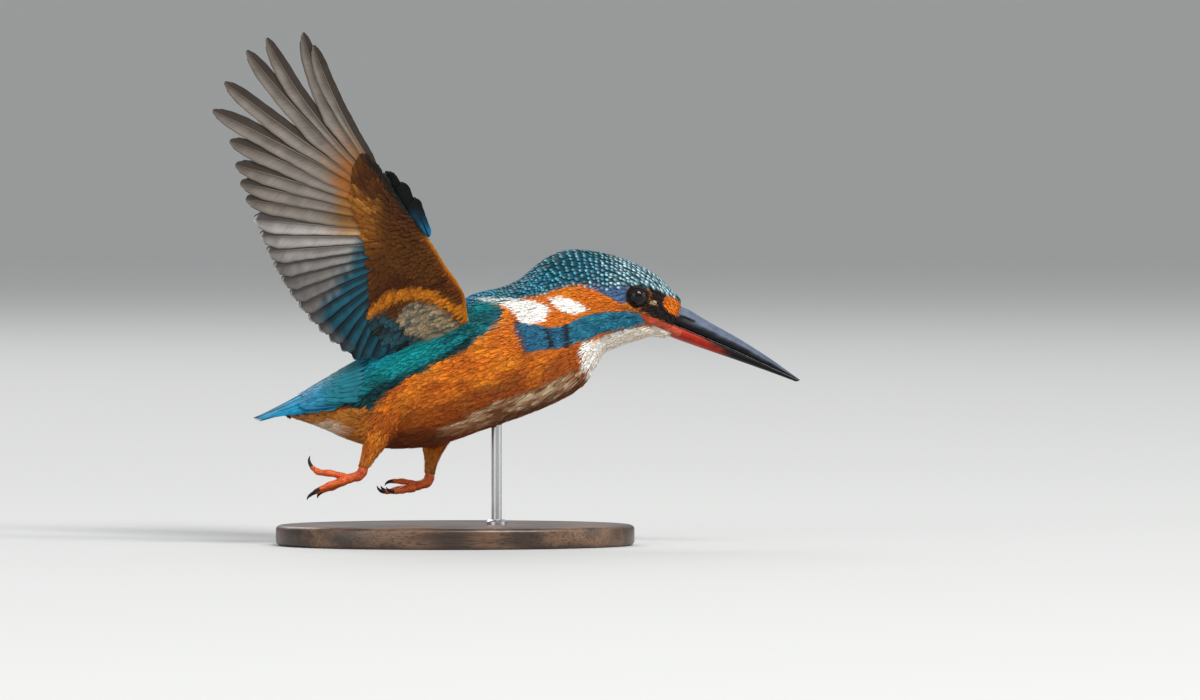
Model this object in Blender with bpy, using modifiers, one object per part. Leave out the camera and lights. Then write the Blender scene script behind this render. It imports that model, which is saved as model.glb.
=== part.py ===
"""A life-size female common kingfisher, taking off with both wings raised, held by a plain display stand.

All sizes below are millimetres; the objects are built in metres. +X is the way the bird faces, +Y its left
side and +Z up. The origin is the middle of the underside of the stand's base. The body and the bill are
lofted over ribs, each flight feather is a thin blade, and the toes are tapered tubes.
"""

import math

import bmesh
import bpy
from mathutils import Vector

MM = 0.001

# Driving dimensions.
GAP = 0.3  # air between neighbouring pieces
BASE_LENGTH, BASE_WIDTH, BASE_HEIGHT = 104.0, 68.0, 6.0
BASE_EDGE = 1.2
ROD_RADIUS = 1.5
ROD_X = 12.0
ROD_TOP = 42.0
SOCKET_FLOOR = 2.0
EYE_RADIUS = 3.4
EYE_CENTRE = (52.5, 8.5, 72.3)
CLAW_TIP = 0.25

# The ribs of the body, from the tip of the undertail coverts to the root of the bill. Each row is the rib's
# top (x, z), its bottom (x, z) and its half width.
BODY_RIBS = [
    (-47.8, 40.6, -49.0, 37.2, 2.5),
    (-41.8, 44.0, -42.6, 35.2, 6.2),
    (-36.4, 46.4, -36.8, 32.9, 8.0),
    (-31.0, 50.8, -31.0, 30.2, 10.2),
    (-24.1, 55.8, -22.3, 27.9, 13.5),
    (-14.5, 61.6, -13.6, 27.6, 16.2),
    (-4.3, 67.9, -3.8, 28.8, 17.6),
    (4.9, 73.2, 7.2, 32.6, 18.0),
    (13.0, 75.2, 18.8, 36.6, 17.2),
    (18.8, 77.8, 29.0, 40.7, 15.4),
    (23.2, 81.6, 37.1, 45.3, 13.4),
    (27.5, 84.5, 41.2, 51.1, 11.9),
    (32.8, 86.2, 43.2, 55.2, 11.3),
    (39.1, 85.9, 46.1, 56.6, 11.2),
    (45.5, 84.5, 49.9, 58.1, 11.1),
    (52.2, 82.2, 53.6, 59.2, 10.4),
    (58.0, 79.0, 57.1, 60.2, 8.3),
    (62.3, 75.0, 59.9, 59.9, 7.0),
    (66.1, 71.0, 61.5, 59.5, 5.8),
]
BODY_STEPS = 2  # rings from one rib to the next
BODY_POINTS = 18
NECK_CUT = ((30.0, 62.0), (0.80, 0.60))  # a point (x, z) on the cut and its normal, pointing to the bill
HEAD_CUT = ((38.5, 70.0), (0.95, 0.31))

# The bill, from the gape to the tip: culmen (x, z), mouth line (x, z), half width.
UPPER_BILL_RIBS = [
    (56.5, 71.1, 55.1, 67.5, 6.2),
    (65.8, 69.1, 63.5, 64.5, 4.3),
    (73.9, 64.6, 72.2, 61.0, 3.2),
    (82.6, 59.7, 81.5, 56.6, 2.2),
    (91.3, 54.3, 90.8, 52.1, 1.3),
    (99.9, 48.5, 99.8, 47.7, 0.4),
]
# Mouth line (x, z), gonys (x, z), half width.
LOWER_BILL_RIBS = [
    (55.0, 67.1, 56.5, 63.4, 6.0),
    (63.4, 64.1, 61.8, 60.7, 4.1),
    (72.1, 60.6, 71.0, 57.4, 3.0),
    (81.4, 56.2, 81.2, 53.9, 2.0),
    (90.7, 51.7, 90.5, 50.5, 1.2),
    (98.6, 47.9, 98.5, 47.3, 0.4),
]

# The raised wing. It stands off the back by a flare that straightens towards the tip, and it is cupped.
WING_ROOT_Y, WING_ROOT_Z = 10.0, 60.0
WING_FLARE, WING_CURL = 0.52, 0.0022
WING_LIFT = 0.05  # height added per millimetre of distance from the root
WING_CUP, CUP_CHORD = 2.2, 22.0
CUP_X, CUP_SLOPE = -12.0, -0.6
# Ribs of the feathered arm: leading edge (x, z), trailing edge of the coverts (x, z), thickness.
ARM_RIBS = [
    (4.4, 60.8, -15.4, 57.6, 7.5),
    (3.3, 72.7, -25.2, 64.8, 6.5),
    (-2.4, 81.2, -25.8, 74.0, 5.2),
    (-6.9, 88.2, -25.6, 84.5, 4.4),
    (-14.2, 97.6, -29.8, 94.4, 3.6),
    (-19.2, 105.4, -30.6, 102.5, 2.8),
    (-24.7, 111.5, -28.0, 109.4, 2.0),
]
ARM_EDGE = 1.4  # thickness of the coverts where the flight feathers leave them
ARM_POINTS = 7
# The tip (x, z) of each primary from the innermost, and its bow forwards. Roots are spaced along the hand and
# along the ulna.
PRIMARIES = [
    (-60.6, 99.6, 0.4), (-62.2, 104.2, 0.5), (-63.6, 109.4, 0.6), (-65.2, 116.2, 0.7), (-70.0, 124.8, 0.7),
    (-66.6, 132.8, -0.6), (-60.3, 141.8, -1.7), (-54.6, 145.3, -2.8), (-44.2, 146.8, -3.0), (-41.2, 143.2, -1.6),
]
HAND = [(-9.5, 91.5), (-16.4, 97.2), (-21.3, 104.8)]  # its wrist, middle and end
ULNA_FROM, ULNA_TO = (-7.8, 89.7), (-15.4, 78.4)
SECONDARIES = 12
SECONDARY_TIPS = [(-58.4, 93.9), (-46.6, 70.6), (-29.4, 54.2)]  # first, middle, last
TERTIALS = [((-14.8, 75.5), (-27.0, 56.4)), ((-12.5, 74.0), (-23.0, 57.2)), ((-10.2, 72.3), (-18.6, 58.6))]
PRIMARY_WIDTH, SECONDARY_WIDTH, TERTIAL_WIDTH = 6.2, 7.0, 6.0
PRIMARY_ROWS = (0.12, 0.4, 0.62, 0.78, 0.92, 1.0)  # shares of the length where a feather has a row of points
SECONDARY_ROWS = (0.3, 0.6, 0.92, 1.0)
ALULA = [((-8.0, 88.8), (-12.2, 99.5)), ((-9.0, 89.2), (-15.2, 104.0)), ((-10.2, 89.6), (-18.4, 106.2))]
ALULA_WIDTH = 3.2
ALULA_ROWS = (0.0, 0.5, 0.92, 1.0)
FEATHER = 0.8  # thickness of a sheet of flight feathers
ROOT_WIDTH, ROOT_LENGTH = 0.1, 0.4  # shares of the width at a free edge's root, and of the length it widens over
LEADING_VANE = 0.7  # how wide the vane before the shaft is, next to the one behind it
STEP = 0.14  # half the height by which each feather lies on the next

# The tail: an arch above the rump that flattens towards its tip. The feathers are set out across it.
TAIL_ROOT_X, TAIL_LENGTH = -33.8, 24.6
TAIL_HALF, TAIL_HALF_ARC = 10.3, 14.0
TAIL_FOOT = (40.4, -3.3, -0.8)  # height of the arch's foot, and its change with the distance along the tail
TAIL_RISE, TAIL_TIP_RISE = 9.8, 0.8
TAIL_AXES = (2.2, 5.6, 7.8, 9.7, 11.4, 13.0)  # across the arch, from its ridge
TAIL_WIDTHS = (6.0, 6.0, 6.0, 6.0, 6.0, 2.4)
TAIL_SHORTER = 2.2  # how much the outermost feather falls short

# The feathered legs. Ribs: front (x, z), back (x, z), half width. Then the distance from the middle.
RIGHT_THIGH_RIBS = [
    (-9.0, 39.5, -25.2, 43.0, 5.4),
    (-13.8, 34.2, -26.0, 37.0, 4.9),
    (-18.2, 30.4, -26.8, 31.6, 3.7),
    (-22.2, 26.2, -27.6, 26.4, 2.6),
    (-24.8, 22.4, -28.6, 22.8, 1.9),
]
LEFT_THIGH_RIBS = [
    (2.6, 36.4, -10.6, 36.4, 5.4),
    (-0.6, 30.6, -10.2, 30.0, 4.5),
    (-3.3, 26.4, -9.2, 26.0, 3.0),
    (-4.9, 22.9, -9.0, 22.9, 2.1),
    (-5.6, 19.8, -9.2, 20.2, 1.8),
]
RIGHT_LEG_Y, LEFT_LEG_Y = -9.2, 8.6

# The feet, bone by bone: points (x, y, z) with the radius there. y is measured outwards from the leg.
RIGHT_TARSUS = [(-26.8, 0, 22.2, 1.5), (-27.9, 0, 20.6, 1.5), (-30.2, 0, 19.9, 1.45), (-32.2, 0, 19.3, 1.5)]
RIGHT_TOES = {
    "hallux": [(-31.6, -0.6, 19.9, 1.1), (-35.6, -0.9, 21.1, 1.0), (-39.4, -1.0, 21.5, 0.95), (-41.4, -1.0, 22.8, 0.75)],
    "inner": [(-31.6, -1.3, 19.2, 1.1), (-35.0, -2.0, 17.4, 1.0), (-37.6, -2.4, 16.4, 0.7)],
    "middle": [(-31.8, 0.0, 19.2, 1.3), (-36.2, -0.2, 17.6, 1.15), (-40.0, -0.3, 16.0, 0.75)],
    "outer": [(-31.8, 1.2, 19.4, 1.2), (-35.8, 1.5, 18.0, 1.1), (-38.8, 1.7, 17.0, 0.75)],
}
RIGHT_CLAWS = {
    "hallux": [(-41.9, -1.0, 23.6), (-42.4, -1.0, 24.9), (-42.2, -1.0, 26.2)],
    "inner": [(-38.4, -2.5, 15.9), (-39.5, -2.6, 15.0), (-40.0, -2.6, 14.0)],
    "middle": [(-40.9, -0.3, 15.5), (-42.1, -0.4, 14.7), (-43.0, -0.4, 13.6)],
    "outer": [(-39.7, 1.8, 16.5), (-41.0, 1.9, 15.7), (-41.9, 1.9, 14.6)],
}
LEFT_TARSUS = [(-7.3, 0, 19.9, 1.5), (-7.9, 0, 18.1, 1.5), (-10.2, 0, 17.2, 1.45), (-12.0, 0, 16.8, 1.5)]
LEFT_TOES = {
    "hallux": [(-11.6, -0.8, 17.4, 1.0), (-14.6, -1.6, 18.2, 0.9), (-17.6, -2.2, 18.4, 0.75)],
    "inner": [(-11.6, -1.3, 16.6, 1.1), (-14.8, -2.3, 15.8, 1.0), (-17.2, -2.8, 15.5, 0.7)],
    "middle": [(-11.6, 0.0, 16.5, 1.3), (-16.0, -0.1, 15.8, 1.15), (-19.6, -0.1, 15.2, 0.75)],
    "outer": [(-11.6, 1.2, 16.6, 1.2), (-15.6, 1.6, 15.9, 1.1), (-18.6, 1.8, 15.4, 0.75)],
}
LEFT_CLAWS = {
    "hallux": [(-18.4, -2.4, 18.3), (-19.5, -2.6, 18.0), (-20.3, -2.7, 17.2)],
    "inner": [(-18.1, -3.0, 15.5), (-19.2, -3.2, 15.9), (-20.0, -3.3, 16.6)],
    "middle": [(-20.5, -0.1, 15.2), (-21.8, -0.1, 15.7), (-22.6, -0.1, 16.9)],
    "outer": [(-19.5, 1.9, 15.4), (-20.7, 2.0, 15.8), (-21.5, 2.0, 16.8)],
}
CLAW_ROOT_RADIUS = 0.6

# Colours of the materials: red, green, blue, then roughness.
FINISHES = {
    "crown_feather": (0.02, 0.20, 0.27, 0.5),
    "breast_feather": (0.75, 0.26, 0.05, 0.7),
    "back_feather": (0.02, 0.33, 0.40, 0.45),
    "tail_feather": (0.02, 0.25, 0.55, 0.45),
    "flight_feather": (0.42, 0.37, 0.36, 0.6),
    "under_covert": (0.60, 0.24, 0.05, 0.7),
    "leg_skin": (0.75, 0.16, 0.03, 0.45),
    "claw_horn": (0.03, 0.02, 0.02, 0.35),
    "upper_bill": (0.03, 0.03, 0.05, 0.25),
    "lower_bill": (0.50, 0.08, 0.03, 0.3),
    "eye": (0.01, 0.007, 0.005, 0.05),
    "stand_wood": (0.09, 0.05, 0.03, 0.5),
    "stand_steel": (0.45, 0.45, 0.46, 0.3),
}


def scaled(point):
    return Vector(point) * MM


def material(name):
    """The named finish as a Principled material, made once."""
    found = bpy.data.materials.get(name)
    if found:
        return found
    red, green, blue, roughness = FINISHES[name]
    made = bpy.data.materials.new(name)
    made.use_nodes = True
    shader = made.node_tree.nodes["Principled BSDF"]
    shader.inputs["Base Color"].default_value = (red, green, blue, 1.0)
    shader.inputs["Roughness"].default_value = roughness
    shader.inputs["Metallic"].default_value = 1.0 if name == "stand_steel" else 0.0
    return made


def place(name, mesh, finish, collection):
    piece = bpy.data.objects.new(name, mesh)
    mesh.materials.clear()
    mesh.materials.append(material(finish))
    collection.objects.link(piece)
    return piece


def part(name, mesh, finish):
    return place(name, mesh, finish, bpy.data.collections["kingfisher"])


def cutter(name, mesh):
    """A helper solid that isn't part of the model."""
    made = place(name, mesh, "stand_steel", bpy.data.collections["cutters"])
    made.hide_render = True
    made.display_type = "WIRE"
    return made


def freeze(piece):
    """Applies the modifiers of a piece to its mesh."""
    bpy.context.view_layer.update()
    graph = bpy.context.evaluated_depsgraph_get()
    mesh = bpy.data.meshes.new_from_object(piece.evaluated_get(graph))
    piece.modifiers.clear()
    piece.data = mesh


def combine(piece, other, operation):
    modifier = piece.modifiers.new(operation.title(), "BOOLEAN")
    modifier.operation = operation
    modifier.solver = "EXACT"
    modifier.object = other


def subtract(piece, *cutters):
    for other in cutters:
        combine(piece, other, "DIFFERENCE")
    freeze(piece)


def unite(pieces):
    """Joins overlapping pieces into the first of them, and removes the others."""
    first, *others = pieces
    for other in others:
        combine(first, other, "UNION")
    freeze(first)
    for other in others:
        bpy.data.objects.remove(other)
    return first


def soften(mesh, angle=35.0):
    mesh.shade_smooth()
    mesh.set_sharp_from_angle(angle=math.radians(angle))


def loft(rings):
    """A closed mesh over rings with the same number of points, with flat ends."""
    shell = bmesh.new()
    loops = [[shell.verts.new(point) for point in ring] for ring in rings]
    count = len(loops[0])
    for near, far in zip(loops, loops[1:]):
        for i in range(count):
            j = (i + 1) % count
            shell.faces.new((near[i], near[j], far[j], far[i]))
    shell.faces.new(loops[0])
    shell.faces.new(loops[-1])
    bmesh.ops.recalc_face_normals(shell, faces=shell.faces)
    mesh = bpy.data.meshes.new("loft")
    shell.to_mesh(mesh)
    shell.free()
    soften(mesh)
    return mesh


def smoothed(rows, steps):
    """Rows of numbers with steps - 1 more between each two, on a Catmull-Rom curve through them all."""
    rows = [Vector(row) for row in rows]
    ends = [2 * rows[0] - rows[1], *rows, 2 * rows[-1] - rows[-2]]
    found = []
    for a, b, c, d in zip(ends, ends[1:], ends[2:], ends[3:]):
        for step in range(steps):
            t = step / steps
            found.append(
                0.5 * (2 * b + (c - a) * t + (2 * a - 5 * b + 4 * c - d) * t**2
                       + (3 * b - a - 3 * c + d) * t**3)
            )
    return found + [rows[-1]]


def oval(row, count, y=0.0, grow=0.0, power=2.0):
    """A ring over one rib. power 2 is an ellipse, and less is more like a wedge."""
    top, bottom = Vector((row[0], y, row[1])), Vector((row[2], y, row[3]))
    middle, half = (top + bottom) / 2, (top - bottom) / 2
    up = half.normalized() * (half.length + grow)
    side = Vector((0, row[4] + grow, 0))
    ring = []
    for i in range(count):
        angle = 2 * math.pi * i / count
        high, wide = math.sin(angle), math.cos(angle)
        ring.append(
            scaled(middle + up * math.copysign(abs(high) ** (2 / power), high)
                   + side * math.copysign(abs(wide) ** (2 / power), wide))
        )
    return ring


def body_mesh(grow=0.0):
    rows = smoothed(BODY_RIBS, BODY_STEPS)
    return loft([oval(row, BODY_POINTS, grow=grow) for row in rows])


def keep_side(mesh, cut, sign, shift=GAP / 2):
    """Trims a mesh to one side of a plane seen edge-on from the side, and closes it."""
    (x, z), (nx, nz) = cut
    normal = Vector((nx, 0, nz)).normalized() * sign
    point = Vector((x, 0, z)) + normal * shift
    trimmed = bmesh.new()
    trimmed.from_mesh(mesh)
    everything = trimmed.verts[:] + trimmed.edges[:] + trimmed.faces[:]
    found = bmesh.ops.bisect_plane(
        trimmed, geom=everything, plane_co=point * MM, plane_no=normal, dist=1e-7, clear_inner=True
    )
    rim = [edge for edge in found["geom_cut"] if isinstance(edge, bmesh.types.BMEdge)]
    bmesh.ops.holes_fill(trimmed, edges=rim, sides=0)
    bmesh.ops.recalc_face_normals(trimmed, faces=trimmed.faces)
    kept = bpy.data.meshes.new("kept")
    trimmed.to_mesh(kept)
    trimmed.free()
    soften(kept)
    return kept


def sphere_mesh(radius, segments=14, rings=9):
    ball = bmesh.new()
    bmesh.ops.create_uvsphere(ball, u_segments=segments, v_segments=rings, radius=radius * MM)
    mesh = bpy.data.meshes.new("sphere")
    ball.to_mesh(mesh)
    ball.free()
    mesh.shade_smooth()
    return mesh


def rod_mesh(radius, low, high):
    rod = bmesh.new()
    bmesh.ops.create_cone(
        rod, cap_ends=True, segments=16, radius1=radius * MM, radius2=radius * MM, depth=(high - low) * MM
    )
    bmesh.ops.translate(rod, verts=rod.verts, vec=scaled((ROD_X, 0, (low + high) / 2)))
    mesh = bpy.data.meshes.new("rod")
    rod.to_mesh(mesh)
    rod.free()
    soften(mesh)
    return mesh


def tube_mesh(points):
    """A tapered tube through (x, y, z, radius) points, as a bevelled curve turned into a closed mesh."""
    curve = bpy.data.curves.new("tube", "CURVE")
    curve.dimensions = "3D"
    curve.bevel_depth = MM
    curve.bevel_resolution = 1
    curve.use_fill_caps = True
    spline = curve.splines.new("POLY")
    stations = smoothed(points, 2)
    spline.points.add(len(stations) - 1)
    for point, (x, y, z, radius) in zip(spline.points, stations):
        point.co = (x * MM, y * MM, z * MM, 1.0)
        point.radius = radius
    drawn = bpy.data.objects.new("tube", curve)
    bpy.data.collections["cutters"].objects.link(drawn)
    bpy.context.view_layer.update()
    graph = bpy.context.evaluated_depsgraph_get()
    mesh = bpy.data.meshes.new_from_object(drawn.evaluated_get(graph))
    bpy.data.objects.remove(drawn)
    welded = bmesh.new()
    welded.from_mesh(mesh)
    bmesh.ops.remove_doubles(welded, verts=welded.verts, dist=0.01 * MM)
    bmesh.ops.recalc_face_normals(welded, faces=welded.faces)
    welded.to_mesh(mesh)
    welded.free()
    soften(mesh, 50.0)
    return mesh


def mirrored(mesh):
    """A copy of a mesh for the bird's other side."""
    turned = bmesh.new()
    turned.from_mesh(mesh)
    for vertex in turned.verts:
        vertex.co.y = -vertex.co.y
    bmesh.ops.reverse_faces(turned, faces=turned.faces)
    copy = bpy.data.meshes.new("mirrored")
    turned.to_mesh(copy)
    turned.free()
    soften(copy)
    return copy


# The stand.


def build_stand():
    bpy.ops.mesh.primitive_cylinder_add(
        vertices=36, radius=0.5, depth=1.0, location=scaled((0, 0, BASE_HEIGHT / 2))
    )
    base = bpy.context.object
    base.name = "stand_base"
    base.scale = scaled((BASE_LENGTH, BASE_WIDTH, BASE_HEIGHT))
    bpy.ops.object.transform_apply(location=True, rotation=False, scale=True)
    for collection in list(base.users_collection):
        collection.objects.unlink(base)
    bpy.data.collections["kingfisher"].objects.link(base)
    base.data.materials.append(material("stand_wood"))
    bevel = base.modifiers.new("Rounded edge", "BEVEL")
    bevel.width = BASE_EDGE * MM
    bevel.segments = 2
    bevel.limit_method = "ANGLE"
    socket = cutter("stand socket", rod_mesh(ROD_RADIUS + GAP, SOCKET_FLOOR, BASE_HEIGHT + 2))
    combine(base, socket, "DIFFERENCE")
    freeze(base)
    soften(base.data)
    part("stand_rod", rod_mesh(ROD_RADIUS, SOCKET_FLOOR + GAP, ROD_TOP), "stand_steel")


# The bill and the eyes.


def bill_mesh(ribs, grow=0.0):
    return loft([oval(row, 12, grow=grow, power=1.7) for row in ribs])


def build_bill():
    part("bill_upper", bill_mesh(UPPER_BILL_RIBS), "upper_bill")
    part("bill_lower", bill_mesh(LOWER_BILL_RIBS), "lower_bill")


def build_eyes():
    x, y, z = EYE_CENTRE
    for side, sign in (("right", -1), ("left", 1)):
        eye = part("eye_" + side, sphere_mesh(EYE_RADIUS), "eye")
        eye.location = scaled((x, sign * y, z))


# Head, neck and trunk: one loft, parted by two thin cuts.


def build_body():
    whole = body_mesh()
    head = part("head", keep_side(whole, HEAD_CUT, 1), "crown_feather")
    neck = part("neck", keep_side(keep_side(whole, HEAD_CUT, -1), NECK_CUT, 1), "crown_feather")
    trunk = part("trunk", keep_side(whole, NECK_CUT, -1), "breast_feather")
    x, y, z = EYE_CENTRE
    sockets = []
    for sign in (-1, 1):
        socket = cutter("eye socket", sphere_mesh(EYE_RADIUS + GAP))
        socket.location = scaled((x, sign * y, z))
        sockets.append(socket)
    upper = cutter("upper bill room", bill_mesh(UPPER_BILL_RIBS, GAP))
    lower = cutter("lower bill room", bill_mesh(LOWER_BILL_RIBS, GAP))
    subtract(head, upper, lower, *sockets)
    rod_hole = cutter("rod hole", rod_mesh(ROD_RADIUS + GAP, BASE_HEIGHT, ROD_TOP + GAP))
    subtract(trunk, rod_hole)
    for piece in (head, neck, trunk):
        soften(piece.data)


# The wings.


def on_wing(x, z, off=0.0):
    """A point of the right wing. off is measured from its mid surface towards its underside, which faces out."""
    height = z - WING_ROOT_Z
    chord = (x - CUP_X - CUP_SLOPE * height) / CUP_CHORD
    out = WING_ROOT_Y + WING_FLARE * height - WING_CURL * height**2 + WING_CUP * min(chord**2, 1.5)
    lean = math.atan(WING_FLARE - 2 * WING_CURL * height)
    return Vector((x, -out - off * math.cos(lean), z + WING_LIFT * (out - WING_ROOT_Y) - off * math.sin(lean)))


def between(first, last, share):
    return Vector(first).lerp(Vector(last), share)


def bent(first, middle, last, share):
    """A point on the curve from first to last that passes through middle at one half."""
    handle = 2 * Vector(middle) - (Vector(first) + Vector(last)) / 2
    return between(between(first, handle, share), between(handle, last, share), share)


def primaries():
    """Root, tip, width, how much that narrows, and bow of each primary, from the outermost inwards."""
    for i, (x, z, bow) in reversed(list(enumerate(PRIMARIES))):
        share = i / (len(PRIMARIES) - 1)
        yield bent(*HAND, share), Vector((x, z)), PRIMARY_WIDTH, 0.35 * share, bow


def secondaries():
    """The same for the secondaries and the tertials."""
    for i in range(SECONDARIES):
        share = i / (SECONDARIES - 1)
        yield between(ULNA_FROM, ULNA_TO, share), bent(*SECONDARY_TIPS, share), SECONDARY_WIDTH, 0.0, 1.6 * share
    for root, tip in TERTIALS:
        yield Vector(root), Vector(tip), TERTIAL_WIDTH, 0.0, 1.0


def shaft_point(feather, along):
    root, tip, _, _, bow = feather
    leading = Vector((tip.y - root.y, root.x - tip.x)).normalized()
    return root.lerp(tip, along) + leading * bow * 4 * along * (1 - along)


def half_width(feather, along):
    """Half a feather's width at a place from 0, its root, to 1, its rounded tip."""
    round_tip = math.sqrt(1.0 - ((along - 0.82) / 0.19) ** 2) if along > 0.82 else 1.0
    return feather[2] / 2 * (1.0 - feather[3] * max(0.0, along - 0.4) / 0.6) * round_tip


def direction(feather):
    return (feather[1] - feather[0]).normalized()


def fan_edge(feather, neighbour, along, side, shared):
    """A feather's edge at one row, and whether it meets its neighbour there. They part where both are too narrow."""
    middle, half = shaft_point(feather, along), half_width(feather, along)
    if neighbour:
        to_next = shaft_point(neighbour, along) - middle
        apart = abs((direction(feather) + direction(neighbour)).normalized().cross(to_next))
        if apart <= half + half_width(neighbour, along):
            trim = 0.0 if shared else GAP / 2
            return middle + to_next * (0.5 - trim / to_next.length), True
    half *= min(1.0, ROOT_WIDTH + along / ROOT_LENGTH) * (LEADING_VANE if side < 0 else 1.0)
    ahead = direction(feather)
    return middle + Vector((-ahead.y, ahead.x)) * side * half, False


def fan_mesh(feathers, first, last, rows, lay):
    """Feathers first to last of a fan, as one closed sheet with a step from each to the next and slots between
    their tips. lay(x, z, off) puts a point of the fan's plane in place.
    """
    sheet = bmesh.new()

    def column(points, proud):
        return [tuple(sheet.verts.new(lay(p.x, p.y, proud + off) * MM) for off in (FEATHER / 2, -FEATHER / 2))
                for p in points]

    def strip(left, right, start=0, stop=None):
        for k in range(start, len(rows) - 1 if stop is None else stop):
            for face in (0, 1):
                sheet.faces.new((left[k][face], left[k + 1][face], right[k + 1][face], right[k][face]))

    def wall(corners):
        for (high, low), (next_high, next_low) in zip(corners, corners[1:]):
            sheet.faces.new((high, next_high, next_low, low))

    before, meets_before = None, []
    for i in range(first, last + 1):
        feather = feathers[i]
        outer = [fan_edge(feather, feathers[i - 1] if i else None, t, -1, i > first) for t in rows]
        inner = [fan_edge(feather, feathers[i + 1] if i + 1 < len(feathers) else None, t, 1, i < last) for t in rows]
        columns = [
            column([point for point, _ in outer], -STEP),
            column([shaft_point(feather, t) for t in rows], 0.0),
            column([point for point, _ in inner], STEP),
        ]
        strip(columns[0], columns[1])
        strip(columns[1], columns[2])
        for end in (0, -1):
            wall([column[end] for column in columns])
        if before:
            joined = sum(meets_before) - 1
            if joined >= 0:
                strip(before, columns[0], 0, joined)
                wall([before[0], columns[0][0]])
                wall([before[joined], columns[0][joined]])
            wall(before[max(joined, 0):])
            wall(columns[0][max(joined, 0):])
        else:
            wall(columns[0])
        before, meets_before = columns[2], [meets for _, meets in inner]
    wall(before)
    bmesh.ops.recalc_face_normals(sheet, faces=sheet.faces)
    mesh = bpy.data.meshes.new("fan")
    sheet.to_mesh(mesh)
    sheet.free()
    soften(mesh)
    return mesh


def arm_ring(row, grow=0.0):
    """A ring round one rib of the arm: an aerofoil with a blunt trailing edge."""
    lead, trail, thick = Vector(row[0:2]), Vector(row[2:4]), row[4]
    chord = (trail - lead).normalized()
    lead, trail = lead - chord * grow, trail + chord * grow
    ring = []
    for face in (-1, 1):
        stations = [0.5 - 0.5 * math.cos(math.pi * (i + 0.5) / ARM_POINTS) for i in range(ARM_POINTS)]
        for c in stations if face < 0 else reversed(stations):
            belly = 2.6 * (0.2969 * math.sqrt(c) - 0.126 * c - 0.3516 * c**2 + 0.2843 * c**3 - 0.1015 * c**4)
            half = max(thick * belly, ARM_EDGE / 2) if c > 0.3 else thick * belly
            spot = lead.lerp(trail, c)
            ring.append(scaled(on_wing(spot.x, spot.y, face * (half + grow))))
    return ring


def arm_mesh(grow=0.0):
    rows = smoothed(ARM_RIBS, 2)
    if grow:
        rows[0] = rows[0] + (rows[0] - rows[1]).normalized() * grow
        rows[-1] = rows[-1] + (rows[-1] - rows[-2]).normalized() * grow
    return loft([arm_ring(row, grow) for row in rows])


def beside_hand(x, z, off):
    """Where the alula lies: a little to the upper side of the hand's leading edge."""
    return on_wing(x, z, off - 0.4)


def build_wings():
    body_room = cutter("body room", body_mesh(GAP))
    arm_room = cutter("arm room", arm_mesh(GAP))
    fan = [*primaries(), *secondaries()]
    count = len(PRIMARIES)
    alula = [(Vector(root), Vector(tip), ALULA_WIDTH, 0.0, 0.0) for root, tip in ALULA]
    sheets = (
        ("primaries", fan_mesh(fan, 0, count - 1, PRIMARY_ROWS, on_wing), "flight_feather"),
        ("secondaries", fan_mesh(fan, count, len(fan) - 1, SECONDARY_ROWS, on_wing), "flight_feather"),
        ("alula", fan_mesh(alula, 0, len(alula) - 1, ALULA_ROWS, beside_hand), "tail_feather"),
    )
    arm = part("wing_right_arm", arm_mesh(), "under_covert")
    subtract(arm, body_room)
    pieces = [arm]
    for name, mesh, finish in sheets:
        piece = part("wing_right_" + name, mesh, finish)
        subtract(piece, arm_room, body_room)
        pieces.append(piece)
    for right in pieces:
        keep_largest(right)
        part(right.name.replace("right", "left"), mirrored(right.data), right.data.materials[0].name)


def keep_largest(piece):
    """Removes the crumbs that a cut leaves of feather roots, and keeps the largest solid."""
    mesh = bmesh.new()
    mesh.from_mesh(piece.data)
    todo, islands = set(mesh.verts), []
    while todo:
        island, front = set(), [next(iter(todo))]
        while front:
            vertex = front.pop()
            if vertex not in island:
                island.add(vertex)
                front += [edge.other_vert(vertex) for edge in vertex.link_edges]
        todo -= island
        islands.append(island)
    largest = max(islands, key=len)
    crumbs = [vertex for island in islands if island is not largest for vertex in island]
    bmesh.ops.delete(mesh, geom=crumbs, context="VERTS")
    mesh.to_mesh(piece.data)
    mesh.free()
    soften(piece.data)


# The tail.


def on_tail(x, across, off):
    """A point of the tail's arch. off is measured upwards from its mid surface."""
    share = (TAIL_ROOT_X - x) / TAIL_LENGTH
    rise = TAIL_RISE * max(0.0, 1 - share) ** 1.2 + TAIL_TIP_RISE * share
    foot = TAIL_FOOT[0] + TAIL_FOOT[1] * share + TAIL_FOOT[2] * share**2
    turn = across / TAIL_HALF_ARC * math.pi / 2
    out = Vector((0, math.sin(turn) * rise / TAIL_HALF, math.cos(turn))).normalized()
    return Vector((x, TAIL_HALF * math.sin(turn), foot + rise * math.cos(turn))) + out * (off - FEATHER / 2)


def build_tail():
    half = []
    for across, width in zip(TAIL_AXES, TAIL_WIDTHS):
        tip = TAIL_ROOT_X - TAIL_LENGTH + TAIL_SHORTER * (across / TAIL_HALF_ARC) ** 2
        half.append((Vector((TAIL_ROOT_X, across)), Vector((tip, across)), width, 0.0, 0.0))
    other = [(root * Vector((1, -1)), tip * Vector((1, -1)), *rest) for root, tip, *rest in half]
    feathers = [*reversed(half), *other]
    part("tail", fan_mesh(feathers, 0, len(feathers) - 1, (0.0, 0.5, 0.94, 1.0), on_tail), "tail_feather")


# The legs.


def thigh_mesh(ribs, y):
    return loft([oval(row, 14, y=y) for row in smoothed(ribs, 2)])


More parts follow.
